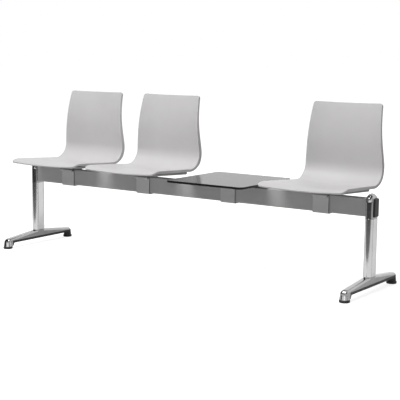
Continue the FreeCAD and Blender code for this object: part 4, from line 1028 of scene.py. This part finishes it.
parts = (floor_paint.nodes, floor_paint.links)
distance = floor_paint.nodes.new("ShaderNodeVectorMath")
distance.operation = "LENGTH"
floor_paint.links.new(floor_paint.place, distance.inputs[0])
far_out = floor_paint.nodes.new("ShaderNodeMapRange")
far_out.interpolation_type = "SMOOTHSTEP"
far_out.inputs["From Min"].default_value = FADE_START
far_out.inputs["From Max"].default_value = FADE_END
floor_paint.links.new(distance.outputs["Value"], far_out.inputs["Value"])
lift = level_of(*parts, far_out.outputs["Result"], NEAR_LIFT, FAR_LIFT)
to_camera = added(*parts, lift, ray_share(*parts, "Is Camera Ray"), "MULTIPLY")
shine = ray_share(*parts, "Is Glossy Ray", "Is Transmission Ray")
to_shine = level_of(*parts, shine, 0.0, SHINE_LIFT)
glow = floor_paint.nodes.new("ShaderNodeEmission")
glow.inputs["Color"].default_value = (1, 1, 1, 1)
floor_paint.links.new(added(*parts, to_camera, to_shine), glow.inputs["Strength"])
both = floor_paint.nodes.new("ShaderNodeAddShader")
floor_paint.links.new(floor_paint.shader.outputs[0], both.inputs[0])
floor_paint.links.new(glow.outputs[0], both.inputs[1])
floor_paint.links.new(both.outputs[0], floor_paint.nodes["Material Output"].inputs["Surface"])
floor_corners = [(i * FLOOR_REACH, j * FLOOR_REACH, FLOOR_LEVEL) for i, j in CORNERS]
floor = flat_card("studio_floor", floor_corners, floor_paint.material)

world = bpy.data.worlds.new("studio_surround")
bpy.context.scene.world = world
world.use_nodes = True
surround = world.node_tree.nodes["Background"]
surround.inputs["Color"].default_value = (1, 1, 1, 1)
parts = (world.node_tree.nodes, world.node_tree.links)
seen = ray_share(*parts, "Is Camera Ray", "Is Glossy Ray", "Is Transmission Ray")
world.node_tree.links.new(level_of(*parts, seen, SOFT_LIGHT, 1.0), surround.inputs["Strength"])

cloth = Finish("black_cloth")
across_floor = cloth.nodes.new("ShaderNodeSeparateXYZ")
cloth.links.new(cloth.place, across_floor.inputs[0])
inwards = cloth.nodes.new("ShaderNodeMapRange")
inwards.inputs["From Min"].default_value = CLOTH_FADE
inwards.inputs["From Max"].default_value = CLOTH_EDGE
inwards.inputs["To Min"].default_value = 0.3
inwards.inputs["To Max"].default_value = 0.7
cloth.links.new(across_floor.outputs["Y"], inwards.inputs["Value"])
cloth.colour(inwards.outputs["Result"], (0.07, 0.07, 0.07), (0.24, 0.24, 0.24))
cloth.shader.inputs["Roughness"].default_value = 1.0
cloth.shader.inputs["Specular IOR Level"].default_value = 0.0


def black_card(name, corners):
    """A cloth that only glossy surfaces see: it lights and shades nothing else."""
    card = flat_card(name, corners, cloth.material)
    card.visible_camera = False
    card.visible_diffuse = False
    card.visible_transmission = False
    card.visible_shadow = False


cloth_ends = (-CLOTH_REACH, CLOTH_EDGE)
black_card(
    "black_floor_cloth",
    [(i * CLOTH_REACH, cloth_ends[j > 0], CLOTH_LEVEL) for i, j in CORNERS],
)
black_card("black_ceiling_cloth", [(-8, -9, 6), (6, -9, 6), (6, 1.5, 6), (-8, 1.5, 6)])
black_card("black_left_cloth", [(-1.7, -4.5, 0), (-7, -1, 0), (-7, -1, 6), (-1.7, -4.5, 6)])
black_card("black_right_cloth", [(5, -1.2, 0), (5, 0.1, 0), (5, 0.1, 4), (5, -1.2, 4)])


def soft_lamp(name, place, aim, width, power):
    """A square area lamp that faces its aim."""
    light = bpy.data.lights.new(name, "AREA")
    light.shape = "SQUARE"
    light.size = width
    light.energy = power
    lamp = bpy.data.objects.new(name, light)
    bpy.context.scene.collection.objects.link(lamp)
    back = np.array(place, float) - aim
    back /= np.linalg.norm(back)
    right = np.cross((0, 0, 1), back)
    right /= np.linalg.norm(right)
    lamp.matrix_world = Matrix(
        np.column_stack((right, np.cross(back, right), back, place)).tolist() + [[0, 0, 0, 1]]
    )
    return lamp


soft_lamp("key_lamp", (-0.50, -1.76, 4.56), (0, 0, 0.45), 3.2, 168)
soft_lamp("low_strip_lamp", (2.9, -5.0, 0.75), (0.9, -0.25, 0.05), 1.0, 6)
rear_lamp = soft_lamp("rear_fill_lamp", (0.3, 4.0, 1.9), (0, 0.2, 0.55), 2.6, 45)
rear_lamp.visible_glossy = False

azimuth, pitch, roll = math.radians(34.73), math.radians(8.23), math.radians(0.60)
forward = np.array(
    [-math.sin(azimuth) * math.cos(pitch), math.cos(azimuth) * math.cos(pitch), -math.sin(pitch)]
)
right = np.array([math.cos(azimuth), math.sin(azimuth), 0])
up = np.cross(right, forward)
rolled_right = math.cos(roll) * right + math.sin(roll) * up
rolled_up = math.cos(roll) * up - math.sin(roll) * right
lens = bpy.data.cameras.new("studio_camera")
lens.sensor_width = SENSOR_WIDTH
lens.sensor_fit = "HORIZONTAL"
lens.lens = FOCAL_LENGTH
lens.clip_end = 100
camera = bpy.data.objects.new("studio_camera", lens)
bpy.context.scene.collection.objects.link(camera)
camera.matrix_world = Matrix(
    np.column_stack((rolled_right, rolled_up, -forward, CAMERA_PLACE)).tolist()
    + [[0, 0, 0, 1]]
)
bpy.context.scene.camera = camera
bpy.context.scene.view_settings.view_transform = "Standard"
